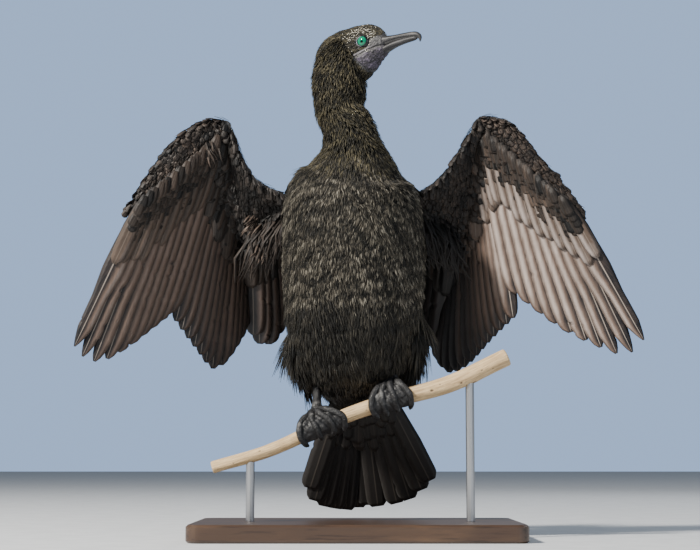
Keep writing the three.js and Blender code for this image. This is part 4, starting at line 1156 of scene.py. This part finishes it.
def growTail(flightMaterial, covertMaterial):
    lean = math.radians(tailSettings["lean"])
    pivot = np.array(tailSettings["pivot"], float)
    face = np.array((0, -math.cos(lean), -math.sin(lean)))
    spot = lambda angle, reach: pivot + np.stack([np.sin(angle) * reach, math.sin(lean) * np.cos(angle) * reach,
                                                  -math.cos(lean) * np.cos(angle) * reach], -1)
    lengths = np.array(tailSettings["lengths"], float)
    count = len(lengths)
    t = steps(count)
    angle = np.radians(tailSettings["angles"])
    rank = np.abs(np.arange(count) - (count - 1) / 2) - 0.5
    lift = face * (tailSettings["step"] * (rank + np.where(np.arange(count) < 6, 0, 1.5)))[:, None]
    root = spot(angle, np.full(count, float(tailSettings["rootReach"]))) + lift
    tip = spot(angle, lengths + rng.normal(0, 1.0, count)) + lift
    shares = steps(34)
    outline = np.interp(shares, tailSettings["shares"], tailSettings["outline"])
    coat = Coat()
    coat.add(root, tip - root, face, np.linalg.norm(tip - root, axis=1), tailSettings["width"], 0.8,
             (shares, outline, "flight"), tone=limit(rng.normal(0.09, 0.03, count)), camber=0.003, bow=0.01,
             tilt=np.where(rank == 0, 0, -np.sign(np.arange(count) - 5.5) * math.radians(5)),
             notch=splits(count, shares, 0.18, 0.05), spot=np.stack([0.02 + 0.88 * t, 0.02 + 0 * t], -1),
             patch=(0.07, 0.9))
    coat.build("tail_feathers", flightMaterial, "flight_feather", "tail")
    coat = Coat()
    for reach, height, many in tailCoverts:
        t = steps(many)
        angle = np.radians(lerp(-15, 23, t)) + rng.normal(0, 0.02, many)
        start = spot(angle, np.full(many, 46.0)) + face * height * 0.8
        end = spot(angle, np.full(many, float(reach)) * rng.uniform(0.96, 1.04, many)) + face * height * 1.1
        coat.add(start, end - start, face * np.sign(height), np.linalg.norm(end - start, axis=1), 13, 0.6, "covert",
                 tone=limit(rng.normal(0.03, 0.015, many)), camber=0.01,
                 spot=np.stack([0.1 + 0.8 * t, np.full(many, 0.5)], -1))
    coat.build("tail_coverts", covertMaterial, "plumage")


# Feet

toeSettings = {"radius": 3.5, "tip": 2.2, "arch": 9, "underAngle": 2.85, "knuckles": (0.34, 0.62, 0.86)}
shankSizes = [  # share from joint to heel, half width, half depth
    (-0.12, 4.4, 4.8), (0.06, 5.6, 5.8), (0.2, 4.3, 5.2), (0.55, 3.7, 5), (0.9, 4.4, 5.4), (1.08, 3, 3.6),
]
webWall = 0.9
perchStations, perchNear = 800, 4  # places along the branch, and how far apart its direction is taken
perchPath = curveThrough([row[:3] for row in perchLine])


def perchRadius(x):
    return sectionAt(perchLine, 0, x)[3]


def overPerch(path):  # directions from the branch's middle to a path
    shares = steps(60)
    return unit(path - perchPath(np.interp(path[:, 0], perchPath(shares)[:, 0], shares)))


def roundPerch(x, angle, out):  # angle 0 on top of the branch, a quarter turn in front
    places = perchPath(steps(perchStations))
    k = int(np.searchsorted(places[:, 0], x))
    along = unit(places[min(k + perchNear, perchStations - 1)] - places[k - perchNear])
    front = np.array((0, -1.0, 0))
    up = -unit(np.cross(along, front))
    up = up if up[2] > 0 else -up
    return places[k] + (up * math.cos(angle) + front * math.sin(angle)) * (perchRadius(x) + out)


def toePath(leg, offset):
    x = leg["joint"][0]
    arch, radius = toeSettings["arch"], toeSettings["radius"]
    return [np.array(leg["joint"], float), roundPerch(x + 0.6 * offset, 0.7, arch),
            roundPerch(x + offset, 1.5, arch - 1.5), roundPerch(x + offset * 0.96, 2.25, arch - 4),
            roundPerch(x + offset * 0.9, toeSettings["underAngle"], radius + 0.2)]


def scuted(rings, path, every, depth, top):  # overlapping plates along the top of a toe or shank
    length = np.concatenate([[0], np.cumsum(np.linalg.norm(np.diff(path, axis=0), axis=1))])
    saw = 1 - (length / every) % 1
    off = rings - path[:, None]
    facing = limit(np.sum(unit(off) * top, axis=2))
    pebbles = 0.5 * np.abs(waves(rings, 0.8, 0.2))
    return path[:, None] + off * (1 + depth * (saw[:, None] ** 2 * facing + pebbles * (1 - facing)))[..., None]


def makeToe(name, number, leg, offset, skinMaterial, clawMaterial):
    points = toePath(leg, offset)
    t = steps(110)
    path = curveThrough(points)(t)
    knuckles = 1 + 0.14 * bell(t[:, None] - np.array(toeSettings["knuckles"]), 0.05).sum(axis=1)
    size = lerp(toeSettings["radius"], toeSettings["tip"], t) * knuckles * np.where(t < 0.03, 0.7, 1)
    rings = tubeRings(path, np.stack([size, size], -1), (1, 0, 0.01), 22)
    rings = scuted(rings, path, 2.1, 0.13, overPerch(path)[:, None])
    dressForm(f"toe_{name}_{number}", rings, skinMaterial, "foot_skin", f"foot_{name}")

    before, end = points[3:]
    along = unit(end - before)
    inward = unit(roundPerch(end[0], toeSettings["underAngle"], -20) - end)
    points = [end - along * 1.2, end + along * 4.6 + inward * 0.6, end + along * 8.6 + inward * 2.6]
    t = steps(30)
    size = 2.0 * (1 - t) ** 0.7 + 0.12
    rings = tubeRings(curveThrough(points)(t), np.stack([size * 0.85, size], -1), (1, 0, 0.01), 18)
    dressForm(f"nail_{name}_{number}", rings, clawMaterial, "claw", f"claw_{name}_{number}")


def makeWeb(name, i, leg, material):
    first, second = (curveThrough(toePath(leg, leg["spreads"][k])) for k in (i, i + 1))
    t = np.linspace(0.08, 0.9, 46)
    share = steps(22)
    a, b = first(t), second(t)
    grid = lerp(a[:, None], b[:, None], share[None, :, None])
    lift = unit(np.cross(b - a, np.gradient(a, axis=0)))[:, None]
    folds = 1.5 * waves(grid, 2.6, i * 1.3) * np.sin(np.pi * share)[None] + 0.5 * waves(grid, 1.1, 2.0 + i)
    folds = folds * np.clip((0.92 - t) / 0.2, 0.2, 1)[:, None]
    grid = grid + lift * folds[..., None]
    faces = gridFaces(*grid.shape[:2], colLoop=0)
    web = meshObject(f"web_{name}_{i + 1}", grid.reshape(-1, 3), faces, material)
    makeOutward(web)
    applyModifier(web, "SOLIDIFY", thickness=webWall * mm, offset=0)
    finishPiece(web, "foot_skin", f"foot_{name}")


def makeFeet(skinMaterial, clawMaterial, webMaterial):
    for name, leg in legs.items():
        for i, offset in enumerate(leg["spreads"]):
            makeToe(name, i + 1, leg, offset, skinMaterial, clawMaterial)
        for i in range(3):
            makeWeb(name, i, leg, webMaterial)
        joint, heel = np.array(leg["joint"], float), np.array(leg["heel"], float)
        table = smoothTable(shankSizes, 16)
        path = lerp(joint, heel, table[:, :1])
        rings = scuted(tubeRings(path, table[:, 1:], (1, 0, 0), 28), path, 2.6, 0.09, np.array((0, -0.7, 0.7)))
        dressForm(f"shank_{name}", rings, skinMaterial, "foot_skin", f"tarsus_{name}")
        knob = [joint + np.array((0, 1, 5)), joint, roundPerch(joint[0], 0.1, 4), roundPerch(joint[0], 0.1, -1)]
        t = steps(40)
        size = np.interp(t, [0, 0.25, 0.6, 1], [3.5, 6.2, 7.6, 6])
        rings = tubeRings(curveThrough(knob)(t), np.stack([size, size * 0.85], -1), (1, 0, 0), 30)
        rings = rings + unit(rings - rings.mean(axis=1, keepdims=True)) * (0.35 * waves(rings, 1.3, 0.8))[..., None]
        dressForm(f"foot_pad_{name}", rings, skinMaterial, "foot_skin", f"foot_{name}")


def footFinish(name, first, second, strength):
    finish = Finish(name, Roughness=0.46, Specular_IOR_Level=0.5)
    cells = finish.cells(620, "DISTANCE_TO_EDGE")
    grain = finish.noise(260, 4, 0.65)
    greyPatches = finish.noise(75, 3, 0.6)
    colour = finish.mix(grain.between(0.3, 0.7), first, second)
    # paler grey patches at random
    colour = finish.mix(greyPatches.between(0.56, 0.72) * 0.55, colour, (0.2, 0.195, 0.19))
    return finish.finished(colour, cells.between(0.0, 0.16) + grain * 0.5, strength, 0.0004)


# Branch and stand

branchSettings = {"stations": 260, "sides": 72, "length": 300, "knots": [  # share of the length, angle, size
    (0.07, 0.3, 0.6), (0.16, 5.9, 0.8), (0.2, 4.2, 1.2), (0.31, 0.5, 0.5), (0.36, 1.2, 0.8), (0.52, 0.25, 0.6),
    (0.55, 1.75, 1.2), (0.66, 5.2, 0.7), (0.735, 0.15, 1.1), (0.765, 6.0, 0.6), (0.83, 0.45, 0.9), (0.87, 1.3, 1.4),
    (0.905, 0.1, 0.7), (0.94, 0.5, 0.6), (0.96, 2.7, 0.9), (0.6, 3.4, 1.1)]}


def makeBranch(material):
    t = steps(branchSettings["stations"])
    path = perchPath(t)
    radius = perchRadius(path[:, 0])
    sides, long = branchSettings["sides"], branchSettings["length"]
    rings = tubeRings(path, np.stack([radius, radius], -1), (0, -1, 0), sides)
    angle = circle(sides)[None]
    length = (t * long)[:, None]
    change = 0.16 * np.sin(angle * 3 + length * 0.05) + 0.1 * np.sin(angle * 7 - length * 0.09) - 0.1
    change = change + 0.07 * np.sin(angle * 19 + 0.8 * np.sin(length * 0.07))
    holes = np.zeros_like(change)
    for share, around, size in branchSettings["knots"]:
        near = np.hypot((length - share * long) / 1.6, (np.angle(np.exp(1j * (angle - around)))) * 7)
        change = change + size * 0.5 * bell(near, 2.6 * size) - size * 1.0 * bell(near, 1.0 * size)
        # holes marks the hollows of the knots, which are painted dark
        holes = holes + bell(near, 1.3 * size)
    change[[0, -1]] -= 0.6  # the cut ends are a little rounded
    off = unit(rings - path[:, None])
    branch = dressForm("branch_wood", rings + off * change[..., None], material, "branch", "perch")
    setAttribute(branch, "knot", limit(holes))
    setAttribute(branch, "around", np.broadcast_to(np.minimum(angle, 2 * np.pi - angle), change.shape))
    setAttribute(branch, "length", np.broadcast_to(length, change.shape))


def branchFinish():
    finish = Finish("bleached branch", Roughness=0.72, Specular_IOR_Level=0.3)
    around, length = finish.attribute("around"), finish.attribute("length")
    grain = finish.noise(1, 5, 0.65, finish.join(length * 0.05, around * 5, 0.0))
    fine = finish.noise(1, 4, 0.7, finish.join(length * 0.2, around * 22, 1.0))
    colour = finish.mix(grain.between(0.3, 0.72), (0.74, 0.55, 0.31), (0.42, 0.28, 0.15))
    colour = finish.mix(fine.between(0.5, 0.78) * 0.5, colour, (0.25, 0.16, 0.09))
    stain = finish.noise(26, 3, 0.6)
    colour = finish.mix(stain.between(0.55, 0.75) * 0.45, colour, (0.4, 0.33, 0.24))
    # near-black knots: partly the dark wood of the knots, partly painted shade in their hollows
    colour = finish.mix(finish.attribute("knot").between(0.35, 0.9) * 0.85, colour, (0.05, 0.03, 0.02))
    return finish.finished(colour, grain * 0.6 + fine, 0.5, 0.0008)


def standFinishes():
    wood = Finish("dark oiled wood", Roughness=0.4, Coat_Weight=0.25, Coat_Roughness=0.25)
    rings = wood.noise(14, 6, 0.6, wood.stretch((0.5, 3.4, 3.4)))
    pores = wood.noise(420, 3, 0.6, wood.stretch((0.06, 1, 1)))
    bands = (rings * 9).math("SINE") * 0.5 + 0.5
    colour = wood.mix(bands, (0.055, 0.03, 0.018), (0.12, 0.068, 0.036))
    colour = wood.mix(pores.between(0.52, 0.7) * 0.7, colour, (0.02, 0.011, 0.007))
    oiled = wood.finished(colour, pores, 0.25, 0.0004)
    steel = Finish("brushed steel", Metallic=1.0, Roughness=0.34)
    lines = steel.noise(900, 3, 0.6, steel.stretch((1, 1, 0.02)))
    brushed = steel.finished(steel.mix(lines, (0.42, 0.43, 0.44), (0.6, 0.6, 0.61)), lines, 0.12, 0.0002)
    return {"stand_base": oiled, "stand_rod_left": brushed, "stand_rod_right": brushed}


def dressStand():
    for name, material in standFinishes().items():
        piece = bpy.data.objects[name]
        if not piece.material_slots:
            piece.data.materials.append(material)
        for slot in piece.material_slots:
            slot.material = material


def makeFloor():
    bpy.ops.object.select_all(action="DESELECT")
    bpy.ops.mesh.primitive_plane_add(**floorSettings)
    floor = bpy.context.view_layer.objects.active
    floor.name = "floor"
    floor.data.materials.append(flatFinish("pale floor", (0.6, 0.62, 0.64), (0.66, 0.68, 0.7), 30, 0.8, 0.05))


makeCamera()
makeLights()
makeFloor()
print("camera, lights and floor made")

# The pale stops of the plumage, head plumage, covert and flight feather finishes are painted sheen: the glint of glossy
# feathers, reached where tone is high.
plumage = featherFinish("black plumage", [(0.003, 0.0034, 0.0032), (0.1, 0.087, 0.066), (0.34, 0.31, 0.25)],
                        gloss=0.24, shaft=0.0, tips=0.5)
headPlumage = featherFinish("olive head plumage", [(0.003, 0.0032, 0.0026), (0.13, 0.11, 0.062), (0.36, 0.33, 0.22)],
                            gloss=0.24, shaft=0.0, tips=0.5)
underCoat = featherFinish("under coat", [(0.003, 0.003, 0.003), (0.03, 0.027, 0.022), (0.1, 0.09, 0.07)],
                          sheen=0.0, roughness=0.8, gloss=0.1, shaft=0.0)
coverts = featherFinish("scaly coverts", [(0.004, 0.0038, 0.004), (0.1, 0.07, 0.053), (0.42, 0.36, 0.33)],
                        gloss=0.26, shaft=0.3, tips=0.25, web=0.55)
flights = featherFinish("flight feathers", [(0.005, 0.0057, 0.008), (0.15, 0.103, 0.08), (0.5, 0.43, 0.39)],
                        roughness=0.46, gloss=0.3, shaft=0.8, web=0.93)
tailFinish = featherFinish("tail feathers", [(0.0035, 0.0035, 0.004), (0.045, 0.038, 0.034), (0.14, 0.12, 0.1)],
                           gloss=0.26, web=0.4)
white = flatFinish("white flecks", (0.6, 0.56, 0.46), (0.85, 0.81, 0.7), 400, 0.6)
down = flatFinish("down under the coat", (0.01, 0.0095, 0.009), (0.022, 0.019, 0.016), 300, 0.8)
lidMaterial = flatFinish("beaded lid", (0.01, 0.011, 0.016), (0.16, 0.17, 0.22), 900, 0.4)
clawMaterial = flatFinish("black claw", (0.012, 0.011, 0.011), (0.06, 0.056, 0.053), 260, 0.32)
makeSkin(down)
growTrunk({"black": plumage, "olive": headPlumage, "under": underCoat})
growThighs(plumage)
print("body plumage grown")
growHead(headPlumage)
growFlecks(white)
makeFace(faceFinish())
makeEyes(eyeFinish(), lidMaterial)
makeBill(billFinish())
print("head made")
for wingName in wings:
    growWing(wingName, flights, coverts)
    growWingScales(wingName, coverts)
growTail(tailFinish, coverts)
print("wings and tail grown")
makeFeet(footFinish("black foot skin", (0.00372, 0.00372, 0.00434), (0.0217, 0.0217, 0.0236), 0.6), clawMaterial,
         footFinish("web skin", (0.00372, 0.00372, 0.00434), (0.0186, 0.0186, 0.0205), 0.45))
makeBranch(branchFinish())
dressStand()
print("feet, branch and stand made")
